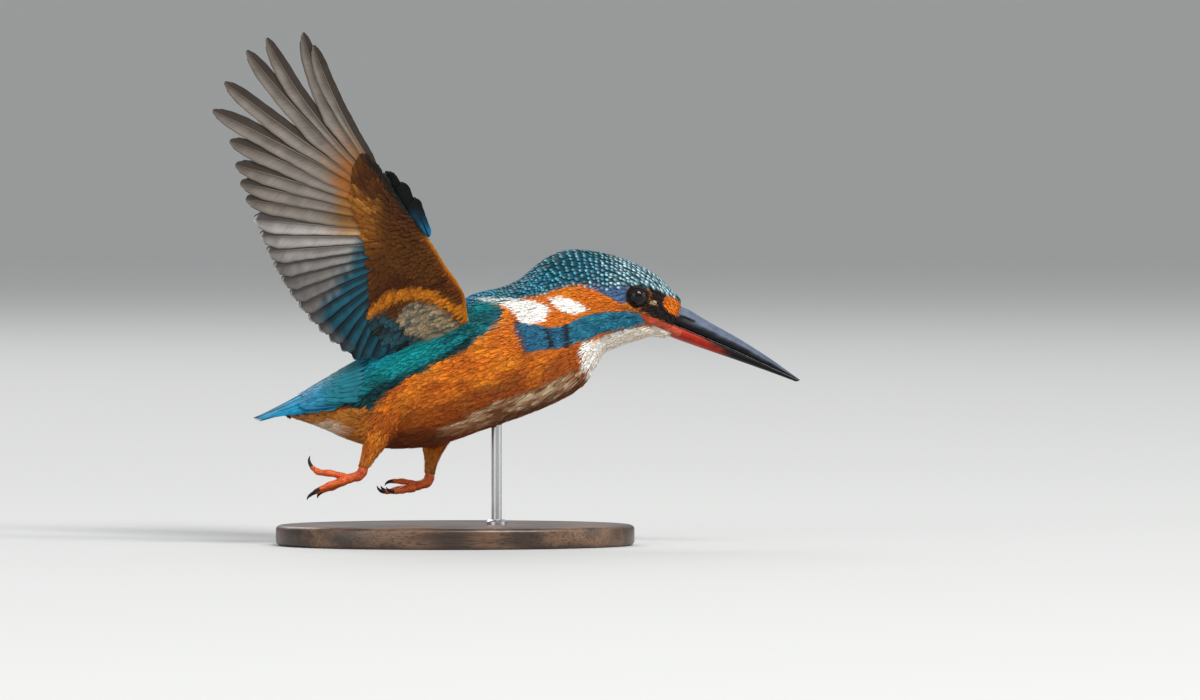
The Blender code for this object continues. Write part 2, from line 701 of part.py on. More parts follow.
def build_leg(side, thigh_ribs, leg_y, tarsus, toes, claws):
    out = 1 if leg_y > 0 else -1

    def placed(points):
        return [(x, leg_y + out * y, *rest) for x, y, *rest in points]

    thigh = part("leg_%s_thigh" % side, thigh_mesh(thigh_ribs, leg_y), "breast_feather")
    bones = [part("leg_%s_foot" % side, tube_mesh(placed(bone)), "leg_skin") for bone in (tarsus, *toes.values())]
    foot = unite(bones)
    foot.name = "leg_%s_foot" % side
    room = cutter("%s ankle room" % side, thigh_mesh([grown(row) for row in thigh_ribs], leg_y))
    subtract(foot, room)
    keep_largest(foot)
    subtract(thigh, bpy.data.objects["body room"])
    keep_largest(thigh)
    for toe, path in claws.items():
        radii = (CLAW_ROOT_RADIUS, 0.75 * CLAW_ROOT_RADIUS, CLAW_TIP)
        points = [(*point, radius) for point, radius in zip(placed(path), radii)]
        part("leg_%s_claw_%s" % (side, toe), tube_mesh(points), "claw_horn")


def grown(row):
    """A thigh rib widened by the gap that its neighbour keeps."""
    front_x, front_z, back_x, back_z, half = row
    return (front_x + GAP, front_z - GAP, back_x - GAP, back_z - GAP, half + GAP)


def main():
    for old in list(bpy.data.objects):
        bpy.data.objects.remove(old)
    for name in ("kingfisher", "cutters"):
        bpy.context.scene.collection.children.link(bpy.data.collections.new(name))
    build_stand()
    build_bill()
    build_eyes()
    build_body()
    build_wings()
    build_tail()
    build_leg("right", RIGHT_THIGH_RIBS, RIGHT_LEG_Y, RIGHT_TARSUS, RIGHT_TOES, RIGHT_CLAWS)
    build_leg("left", LEFT_THIGH_RIBS, LEFT_LEG_Y, LEFT_TARSUS, LEFT_TOES, LEFT_CLAWS)


main()
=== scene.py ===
"""How a life-size kingfisher looks, taking off with both wings raised, on a plain display stand.

Lengths are millimetres in the frame's own axes: X is the way the bird faces, Y its left side and Z up. The
studio, the stand and the depths of bumps are in metres. Every tuft and feather is a closed form, and a piece
of the coat is one mesh of many such forms.
"""

import itertools
import math

import bmesh
import bpy
import numpy as np
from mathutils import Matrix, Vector
from mathutils.bvhtree import BVHTree


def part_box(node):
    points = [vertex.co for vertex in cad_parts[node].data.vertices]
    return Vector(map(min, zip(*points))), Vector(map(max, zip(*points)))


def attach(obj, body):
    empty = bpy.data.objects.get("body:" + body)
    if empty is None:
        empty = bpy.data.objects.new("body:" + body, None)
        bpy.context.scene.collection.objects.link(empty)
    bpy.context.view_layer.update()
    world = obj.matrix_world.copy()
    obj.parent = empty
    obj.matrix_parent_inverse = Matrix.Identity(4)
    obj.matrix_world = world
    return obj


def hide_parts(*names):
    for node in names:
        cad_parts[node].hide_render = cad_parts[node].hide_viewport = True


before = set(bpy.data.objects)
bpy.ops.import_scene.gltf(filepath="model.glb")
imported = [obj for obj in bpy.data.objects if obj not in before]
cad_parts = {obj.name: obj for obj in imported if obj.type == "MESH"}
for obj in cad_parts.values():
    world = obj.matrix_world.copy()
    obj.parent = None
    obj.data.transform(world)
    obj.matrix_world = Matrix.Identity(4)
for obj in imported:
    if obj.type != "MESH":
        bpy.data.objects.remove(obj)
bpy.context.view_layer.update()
MM = 0.001

# The studio: a pale floor that curves up into a wall all round, a pale sky and five soft lamps, the small one
# of them for the glint in the eyes. The camera has a long lens and stands level with the raised wings' tips,
# so that the far wing lies behind the near one.
FLOOR_RADIUS, WALL_RADIUS, WALL_HEIGHT = 6.0, 3.0, 2.6
AXIS_RING = 0.1 * MM  # radius of the small ring that a floor or a board is turned from
CLOSED_UNDER = 0.15 * MM  # an end ring below this radius is closed with a face
SKY_COLOUR, SKY_STRENGTH = (0.93, 0.96, 1.0, 1.0), 0.62
LAMP_AIM = (0.0, 0.0, 0.07)
LAMPS = [  # place, size and watts
    ((0.9, -2.0, 2.7), 1.2, 82.0),
    ((1.7, -1.9, 2.1), 0.5, 24.0),
    ((-2.4, -2.6, 1.1), 2.4, 30.0),
    ((2.6, -0.6, 0.7), 1.8, 16.0),
    ((-1.0, 2.2, 2.2), 1.8, 36.0),
]
CAMERA_PLACE, CAMERA_AIM = (-0.052, -3.0, 0.125), (0.042, 0.0, 0.0566)
SIGHT_WIDTH = 0.348  # of the view, at the bird
SENSOR_WIDTH = 36.0


def shader_sockets(made):
    """The sockets of a material's shader by name, in lower case and with _ for a space."""
    shader = made.node_tree.nodes["Principled BSDF"]
    return {socket.name.lower().replace(" ", "_"): socket for socket in shader.inputs}


def finish(name, colour=(0.5, 0.5, 0.5), **values):
    """A new material with one colour and these values for other sockets of its shader."""
    made = bpy.data.materials.new(name)
    made.use_nodes = True
    sockets = shader_sockets(made)
    sockets["base_color"].default_value = (*colour, 1.0)
    for key, value in values.items():
        sockets[key].default_value = value
    return made


def meshed(shape, name):
    """The mesh of a worked shape, which ends with it."""
    mesh = bpy.data.meshes.new(name)
    shape.to_mesh(mesh)
    shape.free()
    return mesh


def bridged(shape, rings):
    """Joins each ring of corners to the next with faces."""
    for near, far in zip(rings, rings[1:]):
        for i in range(len(near)):
            j = (i + 1) % len(near)
            shape.faces.new((near[i], near[j], far[j], far[i]))


def revolved(name, profile, segments, stretch=(1.0, 1.0)):
    """A mesh turned about Z from (radius, z) points, and stretched along X and Y."""
    made = bmesh.new()
    angles = [2 * math.pi * i / segments for i in range(segments)]
    rings = [[made.verts.new((radius * math.cos(a) * stretch[0], radius * math.sin(a) * stretch[1], height))
              for a in angles] for radius, height in profile]
    bridged(made, rings)
    for end in (0, -1):
        if profile[end][0] < CLOSED_UNDER:
            made.faces.new(rings[end])
    bmesh.ops.remove_doubles(made, verts=made.verts, dist=1e-7)
    bmesh.ops.recalc_face_normals(made, faces=made.faces)
    mesh = meshed(made, name)
    mesh.shade_smooth()
    return mesh


def linked(name, data):
    """An object in the scene for this mesh, lamp or camera."""
    made = bpy.data.objects.new(name, data)
    bpy.context.scene.collection.objects.link(made)
    return made


def aimed(made, place, aim):
    """Stands a lamp or a camera at a place so that it looks at another."""
    made.location = place
    made.rotation_euler = (Vector(aim) - Vector(place)).to_track_quat("-Z", "Y").to_euler()


bend = [math.radians(a) for a in range(0, 91, 6)]
floor_profile = [(AXIS_RING, 0.0), (FLOOR_RADIUS, 0.0)]
floor_profile += [(FLOOR_RADIUS + WALL_RADIUS * math.sin(a), WALL_HEIGHT * (1 - math.cos(a)))
                  for a in bend[1:]]
floor = linked("studio_floor", revolved("studio_floor", floor_profile, 96))
floor.data.materials.append(finish("pale paper", (0.53, 0.53, 0.515), roughness=0.9, specular_ior_level=0.2))

world = bpy.data.worlds.new("studio")
world.use_nodes = True
world.node_tree.nodes["Background"].inputs["Color"].default_value = SKY_COLOUR
world.node_tree.nodes["Background"].inputs["Strength"].default_value = SKY_STRENGTH
bpy.context.scene.world = world
bpy.context.scene.view_settings.view_transform = "Standard"

for number, (place, size, watts) in enumerate(LAMPS):
    lamp_data = bpy.data.lights.new("lamp_%d" % number, "AREA")
    lamp_data.size, lamp_data.energy = size, watts
    aimed(linked(lamp_data.name, lamp_data), place, LAMP_AIM)

camera = linked("camera", bpy.data.cameras.new("camera"))
aimed(camera, CAMERA_PLACE, CAMERA_AIM)
camera.data.sensor_width = SENSOR_WIDTH
camera.data.lens = SENSOR_WIDTH * (Vector(CAMERA_AIM) - Vector(CAMERA_PLACE)).length / SIGHT_WIDTH
camera.data.clip_start, camera.data.clip_end = 0.05, 40.0
bpy.context.scene.camera = camera

# The stand: an oval of dark oiled wood with a rounded rim, and a satin steel rod that goes up into the belly.
# A turned collar hides the hole that the rod's foot stands in. It is all made in a joiner's shop.
_, BASE_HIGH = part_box("stand_base")
ROD_LOW, ROD_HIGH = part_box("stand_rod")
BASE_EDGE, ROD_EDGE = 1.2 * MM, 0.12 * MM
COLLAR_RADIUS, COLLAR_HEIGHT, COLLAR_CLEAR = 3.0 * MM, 1.5 * MM, 0.05 * MM
ROD_AXIS_RING = 0.01 * MM
SHARP_TURN = math.radians(35)  # a turned edge over this angle stays crisp


def node(made, kind, inputs=(), **settings):
    """Adds a node to a material. inputs pairs each socket with a value or with another node's socket."""
    added = made.node_tree.nodes.new("ShaderNode" + kind)
    for key, value in settings.items():
        setattr(added, key, value)
    for key, value in dict(inputs).items():
        if isinstance(value, bpy.types.NodeSocket):
            made.node_tree.links.new(value, added.inputs[key])
        else:
            added.inputs[key].default_value = value
    return added


def place_on(made):
    """The place on the piece itself, in metres."""
    return node(made, "TexCoord").outputs["Object"]


def stretched(made, place, scale, **inputs):
    """Places scaled along X, Y and Z."""
    return node(made, "Mapping", {"Vector": place, "Scale": scale, **inputs}).outputs["Vector"]


def grain(made, place, scale, detail, kind="TexNoise", **inputs):
    """The factor of a noise, or of another texture with the same sockets."""
    return node(made, kind, {"Vector": place, "Scale": scale, "Detail": detail, **inputs}).outputs["Fac"]


def sums(made, operation, first, second=0.0, third=0.0):
    """The result of a Math node."""
    return node(made, "Math", {0: first, 1: second, 2: third}, operation=operation).outputs[0]


def ramp(made, factor, *stops):
    """A colour from a factor, by stops of (place, colour) in order. A lone number stands for a grey."""
    added = node(made, "ValToRGB", {"Fac": factor})
    elements = added.color_ramp.elements
    elements.remove(elements[1])
    elements[0].position = stops[0][0]
    for place, _ in stops[1:]:
        elements.new(place)
    for element, (_, colour) in zip(elements, stops):
        element.color = (*np.broadcast_to(colour, 3), 1.0)
    return added.outputs["Color"]


def blended(made, share, first, second, kind="MIX"):
    """The result of a Mix node for colours."""
    return node(made, "Mix", {0: share, 6: first, 7: second}, data_type="RGBA", blend_type=kind).outputs[2]


def bumps(made, height, strength, depth):
    """The normal of a surface with these heights."""
    return node(made, "Bump", {"Height": height, "Strength": strength, "Distance": depth}).outputs["Normal"]


def connect(made, **links):
    """Links the nodes' results into the sockets of a material's shader."""
    for key, result in links.items():
        made.node_tree.links.new(result, shader_sockets(made)[key])
    return made


def shaded(made, colour, shade, **links):
    """Gives a material a colour multiplied by a shade, and these other links."""
    return connect(made, base_color=blended(made, 1.0, colour, shade, "MULTIPLY"), **links)


def settle(name, mesh, material, slot, *replaced):
    """Puts a finished mesh in the scene as a piece of the bird or of its stand."""
    made = linked(name, mesh)
    mesh.materials.clear()
    mesh.materials.append(material)
    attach(made, "root")
    if replaced:
        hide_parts(*replaced)


def wood_finish():
    """Oiled wood with grain along X, and open pores."""
    made = finish("oiled wood", roughness=0.42, coat_weight=0.25, coat_roughness=0.18)
    place = place_on(made)
    along = stretched(made, place, (14.0, 150.0, 150.0))
    wander = grain(made, along, 1.0, 6.0, Distortion=1.2)
    rings = grain(made, along, 0.8, 3.0, "TexWave", Distortion=7.0)
    pores = grain(made, stretched(made, place, (160.0, 2600.0, 2600.0)), 1.0, 3.0)
    colour = ramp(made, blended(made, 0.45, wander, rings),
                  (0.25, (0.035, 0.016, 0.008)), (0.5, (0.085, 0.042, 0.02)), (0.8, (0.16, 0.085, 0.042)))
    dark = ramp(made, pores, (0.36, (0.35, 0.3, 0.28)), (0.5, 1.0))
    return shaded(made, colour, dark, normal=bumps(made, pores, 0.12, 0.0003),
                  roughness=sums(made, "MULTIPLY_ADD", pores, -0.18, 0.5))


def steel_finish():
    """Steel brushed round its axis."""
    made = finish("satin steel", (0.55, 0.55, 0.56), metallic=1.0, roughness=0.3)
    lines = grain(made, stretched(made, place_on(made), (1500.0, 1500.0, 9000.0)), 1.0, 2.0)
    return connect(made, normal=bumps(made, lines, 0.15, 0.00005),
                   roughness=sums(made, "MULTIPLY_ADD", lines, 0.25, 0.18))


rim = [(BASE_HIGH.y - BASE_EDGE * (1 - math.sin(a)), BASE_EDGE * (1 - math.cos(a))) for a in bend[::3]]
upper_rim = [(radius, BASE_HIGH.z - height) for radius, height in reversed(rim)]
base_profile = [(AXIS_RING, 0.0), *rim, *upper_rim, (AXIS_RING, BASE_HIGH.z)]
board = revolved("stand_board", base_profile, 160, (BASE_HIGH.x / BASE_HIGH.y, 1.0))
settle("stand_board", board, wood_finish(), "stand_wood", "stand_base")
rod_radius, rod_x = (ROD_HIGH.x - ROD_LOW.x) / 2, (ROD_HIGH.x + ROD_LOW.x) / 2
rod_profile = [(ROD_AXIS_RING, ROD_LOW.z), (rod_radius - ROD_EDGE, ROD_LOW.z),
               (rod_radius, ROD_LOW.z + ROD_EDGE), (rod_radius, ROD_HIGH.z - ROD_EDGE),
               (rod_radius - ROD_EDGE, ROD_HIGH.z), (ROD_AXIS_RING, ROD_HIGH.z)]
bore = rod_radius + COLLAR_CLEAR
collar_profile = [(radius, BASE_HIGH.z + share * COLLAR_HEIGHT) for radius, share in (
    (bore, 0.0), (COLLAR_RADIUS, 0.0), (COLLAR_RADIUS, 0.6), (0.86 * COLLAR_RADIUS, 0.92),
    (0.7 * COLLAR_RADIUS, 1.0), (bore, 1.0), (bore, 0.0))]
steel = steel_finish()
for name, profile, replaced in (
        ("stand_post", rod_profile, ("stand_rod",)), ("stand_collar", collar_profile, ())):
    turned = revolved(name, profile, 64)
    for vertex in turned.vertices:
        vertex.co.x += rod_x
    turned.set_sharp_from_angle(angle=SHARP_TURN)
    settle(name, turned, steel, "stand_steel", *replaced)

# The skin: one closed hide over head, neck, trunk, thighs and the feathered arms of the wings. It is drawn
# over the solids of flesh as one, smoothed, and sunk by the depth of the coat that grows from it.
FLESH = {
    "body": ("head", "neck", "trunk"),
    "thigh_right": ("leg_right_thigh",),
    "thigh_left": ("leg_left_thigh",),
    "arm_right": ("wing_right_arm",),
    "arm_left": ("wing_left_arm",),
}
ALL_FLESH = [name for names in FLESH.values() for name in names]
SWELL = 0.2  # how far each solid is swollen, so that the gaps between them close
HIDE_VOXEL, HIDE_SMOOTHING = 0.55, 8
BODY_COAT, HEAD_COAT, ARM_COAT, THIGH_COAT = 0.8, 0.5, 0.4, 0.5
EYE_PLACE = np.array((52.5, 8.5, 72.3))
CHEEK_RADII = (4.1, 4.8, 5.5)  # rings round an eye socket that the face of its plug takes its curve from
PLUG_RADII, PLUG_FOOT, PLUG_SINK = (3.95, 3.95, 2.6, 1.3, 0.05), 4.5, 0.05
PLUG_CORNERS = 48
BESIDE = 30.0  # a distance to the side that lies outside the bird's head


def step(distance, blur):
    """0 below -blur, 1 above it, and a soft change between."""
    t = np.clip(distance / (2 * blur) + 0.5, 0, 1)
    return t * t * (3 - 2 * t)


def turns(count):
    """Angles evenly round a circle."""
    return np.linspace(0, 2 * math.pi, count + 1)[:-1]


def together(*parts):
    """Numbers or arrays side by side, along a new last axis."""
    return np.stack(np.broadcast_arrays(*(np.asarray(part, float) for part in parts)), axis=-1)


def shell_of(*meshes):
    """Meshes as one thing to cast rays at, in mm."""
    points, faces = [], []
    for mesh in meshes:
        faces += [tuple(len(points) + corner for corner in polygon.vertices) for polygon in mesh.polygons]
        points += [tuple(vertex.co / MM) for vertex in mesh.vertices]
    return BVHTree.FromPolygons(points, faces)


def reach_at(shell, x, z, sign):
    """How far a thing reaches out to one side of the bird at a place, or 0 beside it."""
    hit = shell.ray_cast(Vector((x, sign * BESIDE, z)), Vector((0, -sign, 0)))
    return abs(hit[0].y) if hit[0] is not None else 0.0


def socket_plug(sign):
    """A short plug that closes an eye socket level with the cheek, and follows the head's curve."""
    head = shell_of(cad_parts["head"].data)
    angles = turns(PLUG_CORNERS)

    def terms(x, z):
        return together(1, x, z, x * x, z * z)

    x, z = np.array([(r * math.cos(a), r * math.sin(a)) for r in CHEEK_RADII for a in angles]).T
    cheek = [reach_at(head, EYE_PLACE[0] + a, EYE_PLACE[2] + b, sign) for a, b in zip(x, z)]
    fit = np.linalg.lstsq(terms(x, z), cheek, rcond=None)[0]
    plug = bmesh.new()
    rings = []
    for radius in PLUG_RADII:
        x, z = radius * np.cos(angles), radius * np.sin(angles)
        out = terms(x, z) @ fit - PLUG_SINK if rings else np.full(PLUG_CORNERS, PLUG_FOOT)
        places = together(EYE_PLACE[0] + x, sign * out, EYE_PLACE[2] + z)
        rings.append([plug.verts.new(Vector(place) * MM) for place in places])
    bridged(plug, rings)
    plug.faces.new(rings[0])
    plug.faces.new(rings[-1])
    bmesh.ops.recalc_face_normals(plug, faces=plug.faces)
    return meshed(plug, "plug")


def swollen(name):
    """The mesh of a solid of the frame, swollen."""
    solid = bmesh.new()
    solid.from_mesh(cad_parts[name].data)
    bmesh.ops.remove_doubles(solid, verts=solid.verts, dist=1e-6)
    bmesh.ops.recalc_face_normals(solid, faces=solid.faces)
    solid.normal_update()
    for vertex in solid.verts:
        vertex.co += vertex.normal * SWELL * MM
    return meshed(solid, name)


def drawn_over(mesh, voxel, smoothing):
    """One even, smoothed skin drawn over the closed forms of a mesh."""
    made = linked("forms", mesh)
    remesh = made.modifiers.new("Voxels", "REMESH")
    remesh.mode, remesh.voxel_size, remesh.adaptivity = "VOXEL", voxel * MM, 0.0
    smooth = made.modifiers.new("Smooth", "SMOOTH")
    smooth.factor, smooth.iterations = 0.5, smoothing
    bpy.context.view_layer.update()
    drawn = bpy.data.meshes.new_from_object(made.evaluated_get(bpy.context.evaluated_depsgraph_get()))
    bpy.data.objects.remove(made)
    return drawn


def hide_over(names):
    """Points in mm, normals and faces of one hide over these solids, with the eye sockets closed."""
    joined = bmesh.new()
    plugs = [socket_plug(sign) for sign in (-1, 1)] if "head" in names else []
    for mesh in plugs + [swollen(name) for name in names]:
        joined.from_mesh(mesh)
        bpy.data.meshes.remove(mesh)
    drawn = drawn_over(meshed(joined, "joined"), HIDE_VOXEL, HIDE_SMOOTHING)
    points, normals = (np.empty(len(drawn.vertices) * 3) for _ in range(2))
    drawn.vertices.foreach_get("co", points)
    drawn.vertices.foreach_get("normal", normals)
    faces = [tuple(polygon.vertices) for polygon in drawn.polygons]
    return points.reshape(-1, 3) / MM, normals.reshape(-1, 3), faces


def coat_depth(points, region="body"):
    """How deep the coat is: shallow on the face, the wings and the thighs."""
    if region != "body":
        return np.full(len(points), THIGH_COAT if region.startswith("thigh") else ARM_COAT)
    face = step(points[:, 0] - 22 - 0.8 * (70 - points[:, 2]), 8)
    return BODY_COAT + (HEAD_COAT - BODY_COAT) * face


grounds = {}  # what the coat of each region grows from
for region, names in FLESH.items():
    points, normals, faces = hide_over(names)
    ground_points = points - normals * (SWELL + coat_depth(points, region))[:, None]
    grounds[region] = BVHTree.FromPolygons(ground_points.tolist(), faces)
hide_points, hide_normals, hide_faces = hide_over(ALL_FLESH)


def nearness(points):
    """For each point, the share of each region in it, by how near their grounds are."""
    shares = np.empty((len(points), len(grounds)))
    for column, ground in enumerate(grounds.values()):
        shares[:, column] = [1.0 / (ground.find_nearest(point)[3] + 0.15) ** 4 for point in points]
    return shares / shares.sum(axis=1, keepdims=True)


hide_shares = nearness(hide_points)
hide_depths = np.column_stack([coat_depth(hide_points, region) for region in FLESH])
skin_points = hide_points - hide_normals * (SWELL + (hide_shares * hide_depths).sum(axis=1, keepdims=True))
skin_ground = BVHTree.FromPolygons(skin_points.tolist(), hide_faces)

# The marks of the plumage, by their place on the bird seen from its side. The skin takes its colour from them
# as the feathers do. Each outline is (x, z) corners, and both sides of the bird are alike.
TEAL, DEEP_TEAL, AZURE = (0.004, 0.185, 0.2), (0.003, 0.07, 0.08), (0.006, 0.17, 0.33)
# The rim colour is a painted shadow along the teal's edge beside the orange.
BRIGHT_TEAL, RIM_SHADOW, CROWN_BLUE = (0.006, 0.3, 0.31), (0.001, 0.012, 0.014), (0.008, 0.1, 0.16)
MALAR_BLUE, MALAR_BRIGHT, MALAR_REAR = (0.01, 0.12, 0.2), (0.035, 0.24, 0.34), (0.022, 0.115, 0.22)
ORANGE, GOLD, RUST = (0.66, 0.155, 0.008), (0.78, 0.26, 0.014), (0.36, 0.06, 0.004)
# The umber is painted shade on the underside, over wet plumage.
UNDERSIDE_SHADE, SOOT, VIOLET = (0.13, 0.05, 0.018), (0.016, 0.01, 0.008), (0.06, 0.125, 0.24)
# Painted shade low on the body, and painted shadows on the flank and along the neck fold.
LOWER_SHADE, FLANK_SHADOW, FOLD_SHADOW = (0.2, 0.042, 0.004), (0.11, 0.028, 0.008), (0.1, 0.022, 0.008)
# The wet cream is a painted highlight on the wet feathers.
WET_BROWN, WET_HIGHLIGHT, UNDER_EYE_RUST = (0.34, 0.13, 0.035), (1.0, 0.8, 0.52), (0.3, 0.09, 0.02)
VENT_RUST, VENT_GOLD, VENT_PALE = (0.36, 0.105, 0.007), (0.48, 0.19, 0.03), (0.62, 0.52, 0.4)
WHITE, THROAT_CREAM, BUFF = (0.98, 0.95, 0.88), (0.82, 0.5, 0.24), (0.5, 0.36, 0.2)
BACK = [(-66, 36.8), (-40, 39.3), (-33, 40.6), (-28, 39.6), (-25, 39.5), (-22.5, 42.4), (-19.5, 45),
        (-15, 48), (-9, 51.2), (-3, 54), (2.5, 57.2), (7.2, 60.8), (11, 64.6), (13.4, 68), (10, 71.4),
        (17.8, 71.7), (24.5, 72.7), (28.4, 74.1), (32.2, 75.5), (37.5, 75.8), (43.7, 74.6), (50, 74.9),
        (56.7, 74.3), (60.6, 72.5), (64.2, 70.6), (68, 68), (75, 100), (-66, 100)]
CROWN_FROM = 12.0  # the x where the mantle's plain feathers give way to the crown's spotted ones
VIOLET_STRIP = [(34.5, 76.4), (41.3, 75.8), (49.6, 75.4), (49.6, 70.1), (46, 70.6), (41.8, 73.3), (37.5, 75)]
EAR = [(33.2, 72.2), (34.1, 75), (38, 75), (41.8, 73), (46.9, 69.7), (50, 68.6), (49, 67.9), (43.7, 68),
       (38, 68.2), (36.4, 69.8)]
FIRST_STREAK = [(26, 72), (30.3, 72.3), (35.6, 70.5), (37.8, 68.4), (34.1, 66.9), (31.2, 67.7), (28.5, 69.2)]
SECOND_ORANGE = [(17.6, 71.9), (25.5, 72.8), (28.8, 69.4), (32.7, 67.2), (37, 67), (31.2, 64), (26, 63.4),
                 (23.6, 64.4), (26.4, 67.9), (24.5, 70), (20.7, 71)]
SECOND_STREAK = [(4.5, 71.9), (13.9, 72.1), (22.6, 71), (26.6, 69.4), (26.4, 67.2), (24.4, 64.8), (21, 64.2),
                 (18.2, 65.2), (16.2, 67.9), (12, 70.2)]
MALAR = [(53.6, 67.6), (48.5, 68.4), (42.8, 68), (37, 66.5), (32.2, 65.1), (30.8, 63.7), (25.5, 64),
         (22.6, 64.2), (18.3, 65.1), (16.4, 66), (17.2, 61.6), (19.6, 56.4), (22.6, 56.4), (26.9, 57.1),
         (31.2, 56.9), (32.7, 58.3), (35.6, 59), (38.9, 60), (41.8, 61.5), (48.5, 62.9), (54.6, 63.9),
         (54.8, 65.4)]
FIRST_NOTCH = [(30.7, 65), (32.4, 64.6), (32.8, 57.6), (31.1, 57.2)]
SECOND_NOTCH = [(25, 63.8), (26.6, 63), (28.4, 58), (26.8, 57.6)]
# A painted shadow where the neck's feathers lie over the shoulder, along the malar's rear edge.
NECK_FOLD_SHADOW = [(16.4, 66.4), (17.4, 66.4), (20.2, 56.6), (19.4, 50), (18.8, 50), (18.8, 56.6)]
THROAT = [(68, 57), (66, 61.5), (62, 62.6), (58.2, 63.3), (54.6, 63.7), (48.5, 62.5), (41.8, 60),
          (36.5, 58.8), (35, 56.6), (35.4, 53.9), (37.2, 50.5), (39.4, 46), (60, 46)]
BEARD_LINE = [(38.3, 59.2), (41.8, 61.6), (45, 62.7), (42.5, 61), (40, 59.6)]
LORES = [(55.9, 74.9), (59.4, 74), (61.2, 72.2), (60.4, 69.6), (62, 67.9), (66, 66.8), (66, 62.8), (60, 65),
         (55.4, 66.9), (52.8, 68.2), (56.3, 71)]
LORE_SPOT = [(60.1, 71.6), (61.7, 73), (63.4, 72.2), (65.4, 70.3), (66.8, 67.6), (65.2, 66.8), (63.2, 66.8),
             (61.4, 68), (60, 69.8)]
UNDER_EYE = [(46.5, 69.3), (51, 68.8), (54.5, 68), (53.5, 67.1), (50, 67.8), (47, 68.2)]
WET_STREAK = [(36, 49.6), (31, 48.6), (25, 45.6), (18, 43.4), (10, 40.4), (2, 37), (-8, 32.6), (-6, 31),
              (4, 34), (12, 36.6), (20, 39.6), (28, 43.2), (35, 46.2)]
HEAD_MARKS = (  # tint, outline, blur, looseness and strength of the head's plain marks, each over the last
    (SOOT, FIRST_NOTCH, 0.45, 0.5, 0.9), (SOOT, SECOND_NOTCH, 0.45, 0.5, 0.9),
    # a painted shadow along the neck fold
    (FOLD_SHADOW, NECK_FOLD_SHADOW, 0.6, 0.5, 0.6),
    (ORANGE, SECOND_ORANGE, 0.3, 0.8), (WHITE, SECOND_STREAK, 0.35, 0.6), (ORANGE, EAR, 0.35, 0.6),
    (WHITE, FIRST_STREAK, 0.3, 0.6), (VIOLET, VIOLET_STRIP, 0.4, 0.5), (UNDER_EYE_RUST, UNDER_EYE, 0.4, 0.4),
    (SOOT, LORES, 0.4, 0.5), (ORANGE, LORE_SPOT, 0.35, 0.4))
EYE_RIM = 3.5  # radius of the dark rim of feathers round the eye


def depth_in(x, z, outline):
    """How far each place lies inside a closed outline. Outside it is negative."""
    nearest, inside = np.full(x.shape, np.inf), np.zeros(x.shape, bool)
    for (ax, az), (bx, bz) in zip(outline, outline[1:] + outline[:1]):
        long, high = bx - ax, bz - az
        along = np.clip(((x - ax) * long + (z - az) * high) / (long**2 + high**2), 0, 1)
        nearest = np.minimum(nearest, np.hypot(x - ax - along * long, z - az - along * high))
        if az != bz:
            inside ^= ((az > z) != (bz > z)) & (x < ax + (z - az) / high * long)
    return np.where(inside, nearest, -nearest)


def noise(points, lump, seed=0):
    """Smooth noise from -1 to 1 over points, with lumps of a given size, or sizes along X, Y and Z."""
    spot = points / np.asarray(lump, float) + seed * 17.31
    cell = np.floor(spot)
    part = spot - cell
    part = part * part * (3 - 2 * part)
    total = 0.0
    for corner in itertools.product((0, 1), repeat=3):
        value = np.sin((cell + corner) @ np.array((127.1, 311.7, 74.7))) * 43758.5453
        weight = np.prod(np.where(np.array(corner), part, 1 - part), axis=-1)
        total = total + (value - np.floor(value)) * weight
    return 2 * total - 1


def mix(first, second, share):
    """A colour between two, by a share that is held between 0 and 1."""
    share = np.asarray(np.clip(share, 0, 1))[..., None]
    return np.asarray(first) * (1 - share) + np.asarray(second) * share


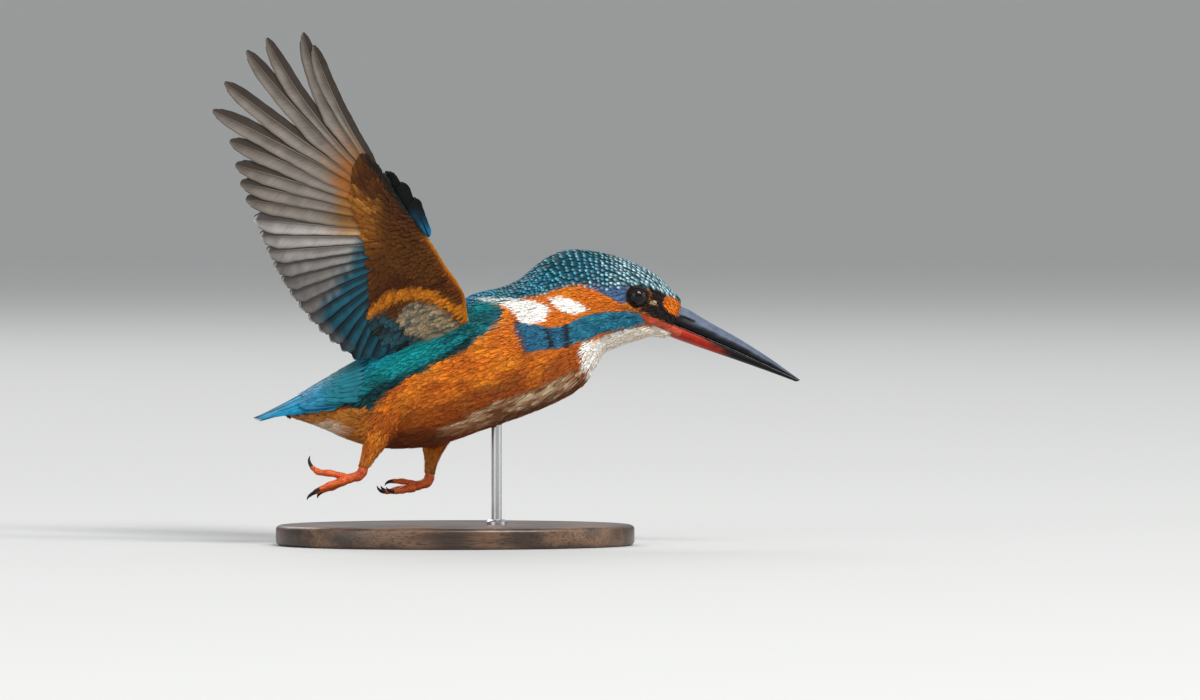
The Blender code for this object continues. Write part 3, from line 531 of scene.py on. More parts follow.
def body_colours(points, normals):
    """The colour of the plumage at places on head, neck, trunk and thighs."""
    x, y, z = points.T
    wander = 0.35 * noise(points, 0.9) + 0.5 * noise(points, 2.6, 5)
    lumps, streaks = noise(points, 5.0, 2), noise(points, (4.0, 1.1, 1.6), 3)
    hairs = noise(points, (3.2, 0.7, 0.8), 4)
    # below marks skin that faces down: painted shade on the belly and the wet streak, cream under the throat.
    below = step(-normals[:, 2] - 0.45 + 0.12 * lumps, 0.3)

    def over(colour, tint, outline, blur, loose=1.0, strength=1.0):
        return mix(colour, tint, strength * step(depth_in(x, z, outline) + loose * wander, blur))

    # Breast and belly: orange with rusty clumps and painted shade below, a wet streak with a painted
    # highlight, and a painted shadow on the flank before the thigh.
    colour = mix(ORANGE, GOLD, 0.35 + 0.5 * lumps + 0.25 * streaks)
    # Painted shade low on the breast and belly.
    colour = mix(colour, LOWER_SHADE, 0.72 * step(42.0 + 0.2 * x - z + 1.5 * lumps, 5.5) * step(x + 28, 6))
    rusty = step(noise(points, (5.0, 4.0, 3.0), 8) - 0.15 + 0.03 * (x - 10) * (x > 8), 0.4)
    colour = mix(colour, RUST, 0.75 * rusty * step(54 - z + 0.25 * x, 8))
    # Painted shade, over wet plumage, on the underside: umber in front and rust further back.
    colour = mix(colour, UNDERSIDE_SHADE, 0.8 * below * step(x - 2, 14))
    colour = mix(colour, RUST, 0.55 * below * step(6 - x, 8))
    # The wet streak: wet brown, with cream that is a painted highlight, brightest on its upper edge.
    wet = step(depth_in(x, z, WET_STREAK) + 1.4 * wander + 1.2 * streaks, 1.0)
    pale = 0.34 + 0.36 * step(z - 39.6 - 0.3 * (x - 10), 1.6) * step(33 - x, 4)
    damp = mix(WET_BROWN, WET_HIGHLIGHT, pale + 0.6 * hairs + 0.5 * streaks)
    colour = mix(colour, damp, 0.95 * wet * (1 - 0.25 * below))
    # A painted shadow low on the flank, before the thigh.
    flank_shadow = 1 - np.hypot((x + 12) / 11, (z - 30 - 0.12 * (x + 12)) / 3.6)
    colour = mix(colour, FLANK_SHADOW, 0.75 * step(flank_shadow + 0.3 * wander, 0.45))
    vent = step(-25 - x + 1.5 * lumps, 5) * step(42 - z, 3)
    colour = mix(colour, mix(VENT_RUST, VENT_GOLD, 0.5 + 0.5 * lumps), 0.9 * vent)
    pale_vent = 1 - np.hypot((x + 37) / 4.0, (z - 33.5) / 3.0)
    colour = mix(colour, VENT_PALE, 0.75 * step(pale_vent + 0.35 * wander, 0.4))

    # Back, rump and crown: teal, with an azure stripe along the back and a painted shadow beside the orange.
    spine = step(8.5 - np.abs(y) + 1.5 * wander - 0.35 * np.maximum(x, 0), 2.5)
    azure = spine * step(normals[:, 2] - 0.25, 0.3) * step(14 - x, 10) + step(-32 - x + 1.5 * wander, 5)
    blue = mix(mix(TEAL, DEEP_TEAL, 0.35 + 0.9 * streaks), AZURE, azure)
    blue = mix(blue, BRIGHT_TEAL, 0.6 * step(6.5 - np.hypot(0.6 * (x + 17), z - 55.5) + wander, 2.0))
    # A painted shadow along the teal's lower edge, wider under the tail's coverts.
    low = 2.1 + 1.8 * step(-21 - x, 3) * step(x + 35, 3)
    rim = step(low - depth_in(x, z, BACK) + wander, 0.9) * step(6 - x, 4) * step(x + 40, 3)
    blue = mix(blue, RIM_SHADOW, 0.85 * rim)
    cap = step(x - CROWN_FROM + wander, 3)
    blue = mix(blue, mix(DEEP_TEAL, CROWN_BLUE, 0.5 + 0.8 * lumps), cap)
    colour = mix(colour, blue, step(depth_in(x, z, BACK) + 1.3 * wander * (1 - 0.7 * cap), 0.7))

    # Throat, malar stripe and face.
    cream = np.minimum(0.3 * streaks + 0.3 * hairs + 0.14 * below + 0.1 * step(x - 44, 8), 0.5)
    colour = over(colour, mix(WHITE, THROAT_CREAM, cream), THROAT, 0.8, 1.6)
    colour = over(colour, ORANGE, BEARD_LINE, 0.4)
    malar = mix(MALAR_BLUE, MALAR_BRIGHT, 0.35 + 0.9 * noise(points, (1.6, 1.6, 1.0), 9))
    colour = over(colour, mix(malar, MALAR_REAR, 0.7 * step(32.5 - x, 0.8)), MALAR, 0.35, 0.8)
    for tint, *mark in HEAD_MARKS:
        colour = over(colour, tint, *mark)
    buff_spot = 1.0 - np.hypot(x - 57.2, (z - 70.4) * 1.4)
    colour = mix(colour, BUFF, 0.9 * step(buff_spot + 0.4 * wander, 0.4))
    to_eye = np.hypot(x - EYE_PLACE[0], z - EYE_PLACE[2])
    return mix(colour, SOOT, step(EYE_RIM - to_eye, 0.3) * (np.abs(y) > 5))


# The feathered arm of the wing: its surface, its leading edge and the marks of its underside and upper side.
# Bone, muscle and skin lie in it, and the skin over it is one with the body's.
WING_ROOT_Y, WING_ROOT_Z, WING_LIFT = 10.0, 60.0, 0.05
WING_FLARE, WING_CURL, WING_CUP = 0.52, 0.0022, 2.2
ARM_LEAD = [(4.4, 60.8), (3.3, 72.7), (-2.4, 81.2), (-6.9, 88.2), (-14.2, 97.6), (-19.2, 105.4),
            (-24.7, 111.5)]
UNDER_BROWN, UNDER_RUST, UNDER_ORANGE = (0.1, 0.032, 0.003), (0.06, 0.014, 0.002), (0.54, 0.165, 0.008)
FRINGE_BROWN, FRINGE_GOLD, LEAD_BROWN = (0.22, 0.07, 0.005), (0.46, 0.19, 0.03), (0.15, 0.03, 0.003)
HAND_UMBER, HAND_BROWN, ROOT_BLUE = (0.045, 0.012, 0.002), (0.095, 0.03, 0.004), (0.02, 0.085, 0.11)
CREAM, AXILLARY, SLATE = (0.75, 0.55, 0.3), (0.38, 0.28, 0.16), (0.012, 0.05, 0.07)
INK = (0.008, 0.008, 0.007)
RIDGE = [(-27, 65.5), (-23, 70.6), (-18.6, 74.6), (-11.6, 75.4), (-6, 74.2), (-1, 71), (3.5, 67.6),
         (3.9, 64.5), (-1.5, 67.4), (-6.4, 71), (-12, 72.4), (-17, 71.6), (-21, 68.4), (-25, 64.4)]
AXILLARIES = [(-14.5, 69.6), (-11, 71.2), (-6.4, 70.3), (-1.5, 67), (2, 63.5), (1, 59), (-7, 59), (-13, 62.5),
              (-16.5, 66)]
ARM_SHADE = [(-26.5, 70.5), (-20, 76), (-16.7, 78.8), (-12, 77.4), (-6, 76), (-3, 78.5), (-1.5, 76),
             (-6, 74.6), (-12, 75.6), (-17.5, 75)]
LEADING_SHADE = [(-10, 88.6), (-6.4, 83.4), (-4.4, 78.4), (-0.6, 73), (2.6, 68.4), (3.6, 69.4), (0.6, 74.6),
                 (-3.2, 80.2), (-5.2, 84.4), (-8.6, 89)]
FAR_ROOTS = [(-32, 67), (-25, 66.5), (-20, 68.5), (-16.5, 66), (-11, 61.5), (-6, 55), (-34, 54)]
HAND_SHADE = [(-26, 112), (-30, 104), (-26, 100), (-21.5, 99), (-17, 94), (-13, 92), (-17, 100), (-21, 107)]
ALULA_PATCH = [(-9, 88.6), (-12.3, 92), (-15.8, 97.4), (-20, 102.6), (-23.8, 107.4), (-28, 112.5), (-20, 115),
               (-5, 92)]
RIM_TO = 89.5  # the z up to which the leading edge has its orange rim
SKIN_SHADE = 0.8  # how much darker the skin is than the feathers over it


def curve(points, share):
    """The places at these shares, from 0 to 1, of a smooth line through the points."""
    points = np.asarray(points, float)
    padded = np.vstack([2 * points[0] - points[1], points, 2 * points[-1] - points[-2]])
    place = np.clip(np.asarray(share, float), 0, 1) * (len(points) - 1)
    index = np.minimum(place.astype(int), len(points) - 2)
    t = (place - index)[..., None]
    a, b, c, d = (padded[index + k] for k in range(4))
    return 0.5 * (2 * b + (c - a) * t + (2 * a - 5 * b + 4 * c - d) * t**2 + (3 * b - a - 3 * c + d) * t**3)


def on_wing(x, z, off):
    """Points of the right wing. off runs from its mid surface towards its underside, which faces out."""
    height = z - WING_ROOT_Z
    chord = (x + 12.0 + 0.6 * height) / 22.0
    out = WING_ROOT_Y + WING_FLARE * height - WING_CURL * height**2 + WING_CUP * np.minimum(chord**2, 1.5)
    lean = np.arctan(WING_FLARE - 2 * WING_CURL * height)
    rise = WING_LIFT * (out - WING_ROOT_Y)
    return together(x, -out - off * np.cos(lean), z + rise - off * np.sin(lean))


def lead_distance(x, z):
    """How far behind the arm's leading edge a place is."""
    edge = curve(ARM_LEAD, np.linspace(0, 1, 60))
    return np.min(np.hypot(x[..., None] - edge[:, 0], z[..., None] - edge[:, 1]), axis=-1)


def wing_noise(x, z, lump, seed):
    """Noise over places in the wing's plane."""
    return noise(together(x, 0, z), lump, seed)


def underwing_colours(x, z):
    """The colour of the coverts below the wing, at places in its plane."""
    lumps, fine = wing_noise(x, z, 4.5, 12), wing_noise(x, z, (2.2, 2.2, 0.8), 13)
    wander = 0.5 * wing_noise(x, z, 1.5, 14)
    edge, below_wrist = lead_distance(x, z), step(RIM_TO - z, 1.5)

    def over(colour, tint, outline, blur, strength=1.0):
        return mix(colour, tint, strength * step(depth_in(x, z, outline) + wander, blur))

    colour = mix(UNDER_BROWN, UNDER_RUST, 0.35 + 0.7 * lumps + 0.3 * fine)
    fringe = step(-22.5 - x, 3.0) * step(z - 86, 4) * step(106 - z, 3)
    colour = mix(colour, mix(FRINGE_BROWN, FRINGE_GOLD, fine), 0.85 * fringe)
    colour = over(colour, mix(HAND_UMBER, HAND_BROWN, 0.4 + fine), HAND_SHADE, 1.5, 0.9)
    colour = over(colour, UNDER_RUST, ARM_SHADE, 0.8, 0.9)
    colour = over(colour, UNDER_ORANGE, RIDGE, 0.8)
    colour = over(colour, mix(INK, ROOT_BLUE, 0.5 + 0.9 * fine), FAR_ROOTS, 1.2, 0.95)
    colour = over(colour, mix(AXILLARY, SLATE, np.minimum(0.15 + 0.9 * fine, 0.8)), AXILLARIES, 1.0)
    colour = over(colour, LEAD_BROWN, LEADING_SHADE, 0.8, 0.8)
    colour = mix(colour, UNDER_ORANGE, step(1.9 + 0.5 * lumps - edge, 0.8) * below_wrist)
    colour = mix(colour, CREAM, step(0.75 - edge, 0.3) * below_wrist)
    return over(colour, INK, ALULA_PATCH, 0.8, 0.9)


def upperwing_colours(x, z):
    """The colour of the coverts above the wing."""
    return mix(DEEP_TEAL, TEAL, 0.5 + 0.8 * wing_noise(x, z, 3.0, 15))


def skin_colours():
    """The skin's colour from the marks over it."""
    colour = body_colours(skin_points, hide_normals) * SKIN_SHADE
    for arm, sign in (("arm_right", 1), ("arm_left", -1)):
        x, y, z = (skin_points * (1, sign, 1)).T
        z = z - WING_LIFT * (-y - WING_ROOT_Y)
        faces_out = (y < on_wing(x, z, 0.0)[:, 1])[:, None]
        wing = np.where(faces_out, underwing_colours(x, z), upperwing_colours(x, z)) * SKIN_SHADE
        colour = mix(colour, wing, hide_shares[:, list(FLESH).index(arm)])
    return colour


def paint(mesh, colours):
    """Stores linear colours for the mesh's vertices, which the finishes read."""
    layer = mesh.color_attributes.new("plumage", "FLOAT_COLOR", "POINT")
    values = np.ones((len(mesh.vertices), 4), np.float32)
    values[:, :3] = np.clip(colours, 0, 1)
    layer.data.foreach_set("color", values.ravel())


def painted(made):
    """The colour stored for the place."""
    return node(made, "Attribute", attribute_name="plumage").outputs["Color"]


def skin_finish():
    """Skin under the coat, with a dull down over it."""
    made = finish("feathered skin", roughness=0.7, specular_ior_level=0.1)
    down = grain(made, place_on(made), 1400.0, 3.0)
    return shaded(made, painted(made), ramp(made, down, (0.3, 0.7), (0.7, 1.0)),
                  normal=bumps(made, down, 0.4, 0.0002))


skin_mesh = bpy.data.meshes.new("skin")
skin_mesh.from_pydata((skin_points * MM).tolist(), [], hide_faces)
skin_mesh.shade_smooth()
paint(skin_mesh, skin_colours())
settle("skin", skin_mesh, skin_finish(), "breast_feather", *ALL_FLESH)

# The flight feathers of the raised wings: ten primaries on the hand, twelve secondaries and three tertials on
# the ulna, and three alula feathers on the thumb. Each is one closed vane with its own shaft, grows from the
# arm's trailing edge and lies on its neighbour.
PRIMARY_TIPS = [  # x, z and bow forwards, from the innermost
    (-60.6, 99.6, 0.4), (-62.2, 104.2, 0.5), (-63.6, 109.4, 0.6), (-65.2, 116.2, 0.7), (-70, 124.8, 0.7),
    (-66.6, 132.8, -0.6), (-60.3, 141.8, -1.7), (-54.6, 145.3, -2.8), (-44.2, 146.8, -3),
    (-41.2, 143.2, -1.6),
]
HAND = [(-9.5, 91.5), (-16.4, 97.2), (-21.3, 104.8)]
ULNA = [(-7.8, 89.7), (-15.4, 78.4)]
SECONDARY_COUNT = 12
SECONDARY_TIPS = [(-58.4, 93.9), (-46.6, 70.6), (-29.4, 54.2)]
TERTIALS = [((-14.8, 75.5), (-27.4, 54.6)), ((-12.5, 74), (-24, 54.6)), ((-10.2, 72.3), (-20, 55.4))]
ALULA = [((-8, 88.8), (-12.6, 99.5)), ((-9.4, 89.2), (-16.2, 104)), ((-11, 89.6), (-19.8, 107))]
PRIMARY_HALF, PRIMARY_NARROWING, SECONDARY_HALF, TERTIAL_HALF, ALULA_HALF = 3.1, 0.35, 3.5, 3.2, 2.2
VANE_ROWS, VANE_COLUMNS = 46, 11
VANE_THICKNESS = 0.11
ROUND_FROM = 0.82  # the share of the length from which a flight feather's tip is rounded
QUILL_SHARE = 0.14  # the share of the length over which the vane widens from the quill
SHAFT_RADII, SHAFT_CORNERS = (0.26, 0.05), 6
LEADING_ROOM, TRAILING_ROOM = 0.5, 0.8  # shares of the way to the next shaft that the vanes reach
VANE_EDGE = math.radians(50)  # an edge of a vane over this angle stays crisp
PATCH = 0.003  # the side of each form's patch in the unwrap
PRIMARY_TONES = ((0.105, 0.088, 0.074), (0.28, 0.245, 0.21), (0.04, 0.03, 0.024))  # web, pale and dark
SECONDARY_TONES = ((0.22, 0.197, 0.185), (0.56, 0.52, 0.48), (0.06, 0.052, 0.05))
BLUE_TONES = ((0.003, 0.03, 0.046), (0.016, 0.105, 0.15), (0.002, 0.007, 0.012))
PRIMARY_BASE, SECONDARY_TIP = (0.25, 0.115, 0.035), (0.5, 0.47, 0.42)
GOLD_TINT = (1.2, 0.62, 0.12)  # what the golden bases by the hand keep of each vane's own grey
UPPER_DUSK, UPPER_BLUE, TERTIAL_BLUE = (0.045, 0.04, 0.038), (0.008, 0.13, 0.19), (0.012, 0.06, 0.075)
PRIMARY_SHAFT, SECONDARY_SHAFT, ALULA_SHAFT = (0.19, 0.15, 0.115), (0.03, 0.04, 0.045), (0.01, 0.01, 0.01)
PALE_SHAFTS = 13  # the outermost feathers of a wing whose shafts are pale
ALULA_BLUE, ALULA_BLACK, WRIST_AZURE = (0.004, 0.04, 0.08), (0.003, 0.0035, 0.004), (0.006, 0.16, 0.34)


def closed_forms(points, colours, vane, roots):
    """A group of closed forms. points are (forms, rings, corners, 3), and each ring runs round its form."""
    count = len(points)
    local = vane - vane.reshape(count, -1, 2).min(axis=1)[:, None, None]
    local = local / np.maximum(local.reshape(count, -1, 2).max(axis=1)[:, None, None], 1e-6)
    return points, np.broadcast_to(colours, points.shape), vane, roots[:, None, None] + PATCH * local


def solid_mesh(name, groups):
    """One mesh of groups of closed forms, with the colour and the two unwraps that the finishes use."""
    corners, starts, start, first = [], [], 0, 0
    for points, *_ in groups:
        count, rings, around = points.shape[:3]
        index = np.arange(count * rings * around).reshape(count, rings, around) + first
        near, far = index[:, :-1], index[:, 1:]
        quads = np.stack([near, far, np.roll(far, -1, axis=2), np.roll(near, -1, axis=2)], axis=-1)
        quads = quads.reshape(-1, 4)
        caps = np.concatenate([index[:, 0], index[:, -1, ::-1]])
        a, b, c = (points.reshape(-1, 3)[quads[:, k] - first] for k in range(3))
        if np.einsum("ij,ij->i", a, np.cross(b, c)).sum() < 0:
            quads, caps = quads[:, ::-1], caps[:, ::-1]
        for part in (quads, caps):
            corners.append(part.ravel())
            starts.append(start + np.arange(len(part)) * part.shape[1])
            start += part.size
        first += index.size
    corners, starts = np.concatenate(corners).astype(np.int32), np.concatenate(starts).astype(np.int32)
    places, colours, vane, bake = (np.concatenate([group[part].reshape(-1, group[part].shape[-1])
                                                   for group in groups]) for part in range(4))
    mesh = bpy.data.meshes.new(name)
    mesh.vertices.add(first)
    mesh.loops.add(len(corners))
    mesh.polygons.add(len(starts))
    mesh.vertices.foreach_set("co", (places * MM).astype(np.float32).ravel())
    mesh.loops.foreach_set("vertex_index", corners)
    mesh.polygons.foreach_set("loop_start", starts)
    mesh.update(calc_edges=True)
    paint(mesh, colours)
    for layer_name, unwrap in (("OFBake", bake), ("vane", vane)):
        layer = mesh.uv_layers.new(name=layer_name)
        layer.uv.foreach_set("vector", unwrap.astype(np.float32)[corners].ravel())
    mesh.shade_smooth()
    return mesh


def piece(name, groups, material, slot, *replaced, crisp=None):
    """Makes groups of closed forms into one piece. Its edges over the angle crisp stay so."""
    mesh = solid_mesh(name, groups)
    if crisp:
        mesh.set_sharp_from_angle(angle=crisp)
    settle(name, mesh, material, slot, *replaced)
    return mesh


def both_sides(groups):
    """The right side's groups of forms, then the same forms for the left side of the bird."""
    return ("right", groups), ("left", [(group[0] * (1, -1, 1), *group[1:]) for group in groups])


def between(first, last, share):
    """A point on the straight line from first to last."""
    return np.asarray(first, float) + (np.asarray(last, float) - first) * share


def bent(first, middle, last, share):
    """A point on the curve from first to last that passes through middle at one half."""
    handle = 2 * np.asarray(middle, float) - (np.asarray(first, float) + last) / 2
    return between(between(first, handle, share), between(handle, last, share), share)


def flight_feathers():
    """Name of the sheet, root, tip, half width, narrowing and bow of each flight feather of a wing."""
    found = []
    for i, (x, z, bow) in reversed(list(enumerate(PRIMARY_TIPS))):
        share = i / (len(PRIMARY_TIPS) - 1)
        narrowing = PRIMARY_NARROWING * share
        found.append(("primaries", bent(*HAND, share), np.array((x, z)), PRIMARY_HALF, narrowing, bow))
    for i in range(SECONDARY_COUNT):
        share = i / (SECONDARY_COUNT - 1)
        tip = bent(*SECONDARY_TIPS, share)
        found.append(("secondaries", between(*ULNA, share), tip, SECONDARY_HALF, 0.0, 1.6 * share))
    return found + [("secondaries", np.array(root), np.array(tip), TERTIAL_HALF, 0.0, 1.0)
                    for root, tip in TERTIALS]


def middle_line(feather, share):
    """Places along a feather's shaft, the way it points and the way to its trailing edge."""
    _, root, tip, _, _, bow = feather
    ahead = (tip - root) / np.linalg.norm(tip - root)
    across = np.array((-ahead[1], ahead[0]))
    line = root + (tip - root) * share[:, None] - across * (bow * 4 * share * (1 - share))[:, None]
    return line, ahead, across


def room_beside(feather, neighbour, share):
    """How far the neighbour's shaft lies from the feather's at each row."""
    if neighbour is None:
        return np.full(len(share), np.inf)
    return np.linalg.norm(middle_line(neighbour, share)[0] - middle_line(feather, share)[0], axis=1)


def blade(feather, lay, patch, colours_of, shaft_colour, before=None, after=None, lift=0.0, tilt=0.28,
          start=0.06):
    """Two groups of forms: a flight feather's vane and its shaft. lay(x, z, off) puts them in place.

    Its vane is as wide as the neighbours before and after leave it, so that each shaft shows from below.
    """
    _, root, tip, half, narrowing, _ = feather
    share = start + (1 - start) * (1 - (1 - np.linspace(0, 1, VANE_ROWS)) ** 1.25)
    side = np.concatenate([np.linspace(-1, 1, VANE_COLUMNS), np.linspace(1, -1, VANE_COLUMNS)[1:-1]])
    facing = np.concatenate([np.ones(VANE_COLUMNS), -np.ones(VANE_COLUMNS - 2)])
    middle, ahead, across = middle_line(feather, share)
    rounded = np.sqrt(np.clip(1 - (np.maximum(share - ROUND_FROM, 0) / (1.004 - ROUND_FROM)) ** 2, 0, 1))
    width = half * (1 - narrowing * np.maximum(0, share - 0.4) / 0.6) * np.maximum(rounded, 0.04)
    width = width * np.sqrt(np.clip(0.12 + (share - start) / QUILL_SHARE, 0, 1))
    leading = np.minimum((0.62 + 0.3 * share**2) * width, LEADING_ROOM * room_beside(feather, before, share))
    trailing = np.minimum((1.28 - 0.28 * share**2) * width,
                          TRAILING_ROOM * room_beside(feather, after, share))
    seed = float(root[0] + 3 * tip[1])
    down = share[:, None]
    ripple = 0.02 * np.sin(down * 31 + seed) + 0.015 * np.sin(down * 83 + 2 * seed)
    reach = side * np.where(side < 0, leading[:, None], trailing[:, None])
    reach = reach * (1 + ripple * (np.abs(side) > 0.95))
    slant = -0.45 * np.abs(reach) * (down > 0.97)
    flat = middle[:, None] + across * reach[..., None] + ahead * slant[..., None]
    fine = 0.03 * np.sin(0.9 * reach + 7 * down + seed) * np.abs(side)
    off = lift + tilt * np.sin(side * math.pi / 2) * (1 - 0.25 * down) + fine
    off = off + VANE_THICKNESS / 2 * (facing * (1 - np.abs(side) ** 6))
    points = lay(flat[..., 0], flat[..., 1], off)
    vane = together(reach, np.linalg.norm(tip - root) * down)
    colours = colours_of(points, *np.broadcast_arrays(side, down, facing))
    radius = SHAFT_RADII[0] + (SHAFT_RADII[1] - SHAFT_RADII[0]) * down
    turn = turns(SHAFT_CORNERS)
    shaft_flat = middle[:, None] + across * (radius * np.cos(turn))[..., None]
    shaft = lay(shaft_flat[..., 0], shaft_flat[..., 1], lift + 0.02 + radius * np.sin(turn) * 0.75)
    shaft_vane = np.broadcast_to(vane[:, VANE_COLUMNS // 2][:, None], shaft.shape[:-1] + (2,))
    roots = np.array([patch])
    return [closed_forms(points[None], colours[None], vane[None], roots),
            closed_forms(shaft[None], shaft_colour, shaft_vane[None], roots)]


def flight_colours(kind, number, place, side, share, facing):
    """Colours of a flight feather: pale beside a dark web and painted shadows below, dusky and blue above."""
    x, z = place[..., 0], place[..., 2]
    fine = noise(together(share * 26, side * 1.2, number), 1.0, 21)
    streaks = noise(together(share * 5, side * 4.5, number), 1.0, 22)
    if kind == "primaries":
        tones, inner, upper_blue = PRIMARY_TONES, np.ones_like(x), 0.75
    else:
        dim = (1 - 0.6 * step(86 - z, 10))[..., None]
        tones = (np.array(SECONDARY_TONES[0]) * dim, np.array(SECONDARY_TONES[1]) * dim, SECONDARY_TONES[2])
        inner, upper_blue = step(-26.5 - 0.58 * (90 - z) - x + 2.5 * fine, 3.0), 0.95
    inner = np.maximum(inner, 0.75 * step(share - 0.9 + 0.02 * fine, 0.05) * step(z - 58, 4))
    web, pale, dark = (mix(blue, grey, inner) for blue, grey in zip(BLUE_TONES, tones))
    below = mix(web, pale, step(side - 0.42 + 0.25 * streaks, 0.35) * (1.1 - 0.62 * share) + 0.15 * fine)
    # Dark leading web with painted shadow over it, a dark tip, and painted shadow along the trailing edge.
    web_and_shadow = step(-side + 0.08, 0.14) * 0.92 + 0.35 * step(share - 0.9, 0.1) + 0.5 * step(side - 0.9, 0.08)
    below = mix(below, dark, web_and_shadow)
    if kind == "primaries":
        below = mix(below, PRIMARY_BASE, 0.65 * step(0.36 - share + 0.05 * fine, 0.12) * step(side, 0.1))
    near_hand = step(x + 35.5 + 2.5 * fine, 3.5) * step(z - 90.0, 1.5) * step(112 - z, 4)
    below = mix(below, below * GOLD_TINT, 0.85 * near_hand)
    if kind == "secondaries":
        below = mix(below, SECONDARY_TIP, 0.5 * inner * step(share - 0.985, 0.006))
    above = mix(UPPER_DUSK, UPPER_BLUE, step(-side - 0.1, 0.2) * step(0.93 - share, 0.1) * upper_blue)
    above = mix(above, TERTIAL_BLUE, 0.8 * step(number - 19.5, 1.0))
    return mix(above, below, step(facing, 0.4)) * (1 + 0.12 * fine[..., None])


def alula_colours(place, *_):
    """Black towards its tip, then dark teal, with azure at the wrist."""
    x, z = place[..., 0], place[..., 2] - WING_LIFT * (-place[..., 1] - WING_ROOT_Y)
    streak = noise(place, (1.2, 1.2, 3.0), 23)
    colour = mix(ALULA_BLUE, ALULA_BLACK, step(z - 95 + streak, 3))
    return mix(colour, WRIST_AZURE, step(92.0 - z + 1.2 * streak + 0.4 * (x + 9), 2.0))


def barb_lines(made, slant, spacing):
    """The way across a vane from its shaft, the way along its slanting barbs, and lines with the barbs."""
    apart = node(made, "SeparateXYZ", {"Vector": node(made, "UVMap", uv_map="vane").outputs["UV"]}).outputs
    lean = sums(made, "MULTIPLY", sums(made, "ABSOLUTE", apart["X"]), slant)
    along = sums(made, "SUBTRACT", apart["Y"], lean)
    return apart["X"], along, sums(made, "SINE", sums(made, "MULTIPLY", along, 2 * math.pi / spacing))


def flight_finish(name, roughness, shine):
    """Flight feathers: a dull sheen, and barbs that leave the shaft at a slant on both sides."""
    made = finish(name, roughness=roughness, specular_ior_level=shine)
    across, along, lines = barb_lines(made, 0.85, 0.26)
    place = node(made, "CombineXYZ", {"X": sums(made, "MULTIPLY", across, 0.35),
                                      "Y": sums(made, "MULTIPLY", along, 2.6)}).outputs["Vector"]
    clumps = grain(made, place, 1.0, 3.0)
    height = sums(made, "MULTIPLY_ADD", lines, 0.6, clumps)
    return shaded(made, painted(made), ramp(made, clumps, (0.3, 0.84), (0.52, 1.0), (0.75, 1.12)),
                  normal=bumps(made, height, 0.35, 0.00005))


def wing_sheets():
    """Groups of the right wing's feathers by the sheet that they belong to."""
    sheets = {"primaries": [], "secondaries": [], "alula": []}
    fan = [None, *flight_feathers(), None]
    for number, (before, feather, after) in enumerate(zip(fan, fan[1:], fan[2:])):
        sheets[feather[0]] += blade(
            feather, on_wing, (0.03 * number + 0.05, 0.2),
            lambda *vane: flight_colours(feather[0], number, *vane),
            PRIMARY_SHAFT if number < PALE_SHAFTS else SECONDARY_SHAFT, before, after)
    for number, (root, tip) in enumerate(ALULA):
        sheets["alula"] += blade(
            ("alula", np.array(root), np.array(tip), ALULA_HALF, 0.0, 0.0),
            lambda x, z, off: on_wing(x, z, off - 0.4 - 0.3 * number), (0.9, 0.2 + 0.03 * number),
            alula_colours, ALULA_SHAFT, start=0.0, tilt=0.12)
    return sheets


vane_finish = flight_finish("flight feather vane", 0.55, 0.14)
for sheet, groups in wing_sheets().items():
    slot = "tail_feather" if sheet == "alula" else "flight_feather"
    for side, forms in both_sides(groups):
        piece("wing_%s_%s_vanes" % (side, sheet), forms, vane_finish, slot, "wing_%s_%s" % (side, sheet),
              crisp=VANE_EDGE)

# The tail: twelve short feathers set across an arch above the rump, azure above and dusky below. They are
# made as the wings' feathers are, and each lies under the one nearer to the middle.
TAIL_ROOT_X, TAIL_LENGTH, TAIL_HALF, TAIL_HALF_ARC = -33.8, 24.6, 10.3, 14.0
TAIL_AXES, TAIL_SHORTER = (2.2, 5.6, 7.8, 9.7, 11.4, 13.0), 2.2
TAIL_FEATHER_HALF, TAIL_SHEET = 2.9, 0.8
TAIL_BLUE, TAIL_AZURE, TAIL_DUSK = (0.006, 0.135, 0.25), (0.012, 0.26, 0.43), (0.03, 0.035, 0.04)
TAIL_SHAFT = (0.015, 0.03, 0.05)


def unit(vectors):
    """Each vector with a length of one."""
    return vectors / np.maximum(np.linalg.norm(vectors, axis=-1, keepdims=True), 1e-9)


def on_tail(x, across, off):
    """A point of the tail's arch. off is measured upwards from its mid surface."""
    share = (TAIL_ROOT_X - x) / TAIL_LENGTH
    rise = 9.8 * np.maximum(0.0, 1 - share) ** 1.2 + 0.8 * share
    foot = 40.4 - 3.3 * share - 0.8 * share**2
    turn = across / TAIL_HALF_ARC * math.pi / 2
    out = unit(together(0, np.sin(turn) * rise / TAIL_HALF, np.cos(turn)))
    middle = together(x, TAIL_HALF * np.sin(turn), foot + rise * np.cos(turn))
    return middle + out * (off[..., None] - TAIL_SHEET / 2)


def tail_colours(number, _, side, share, facing):
    """Azure in fine streaks above, and dusky below."""
    fine = noise(together(share * 20, side, number), 1.0, 31)
    return np.where(facing[..., None] > 0, mix(TAIL_BLUE, TAIL_AZURE, 0.5 + fine), TAIL_DUSK)


tail_groups = []
for sign, (rank, across) in itertools.product((1, -1), enumerate(TAIL_AXES)):
    tip_x = TAIL_ROOT_X - TAIL_LENGTH + TAIL_SHORTER * (across / TAIL_HALF_ARC) ** 2
    root, tip = np.array((TAIL_ROOT_X + 1.5, sign * across)), np.array((tip_x, sign * across))
    tail_groups += blade(
        ("tail", root, tip, min(TAIL_FEATHER_HALF, TAIL_HALF_ARC - across), 0.0, 0.0),
        on_tail, (0.5 + 0.05 * sign * (rank + 1), 0.1), lambda *vane: tail_colours(rank * sign, *vane),
        TAIL_SHAFT, lift=0.28 - 0.1 * rank, tilt=0.1, start=0.0)
piece("tail_vanes", tail_groups, flight_finish("tail feather vane", 0.5, 0.06), "tail_feather", "tail",
      crisp=VANE_EDGE)
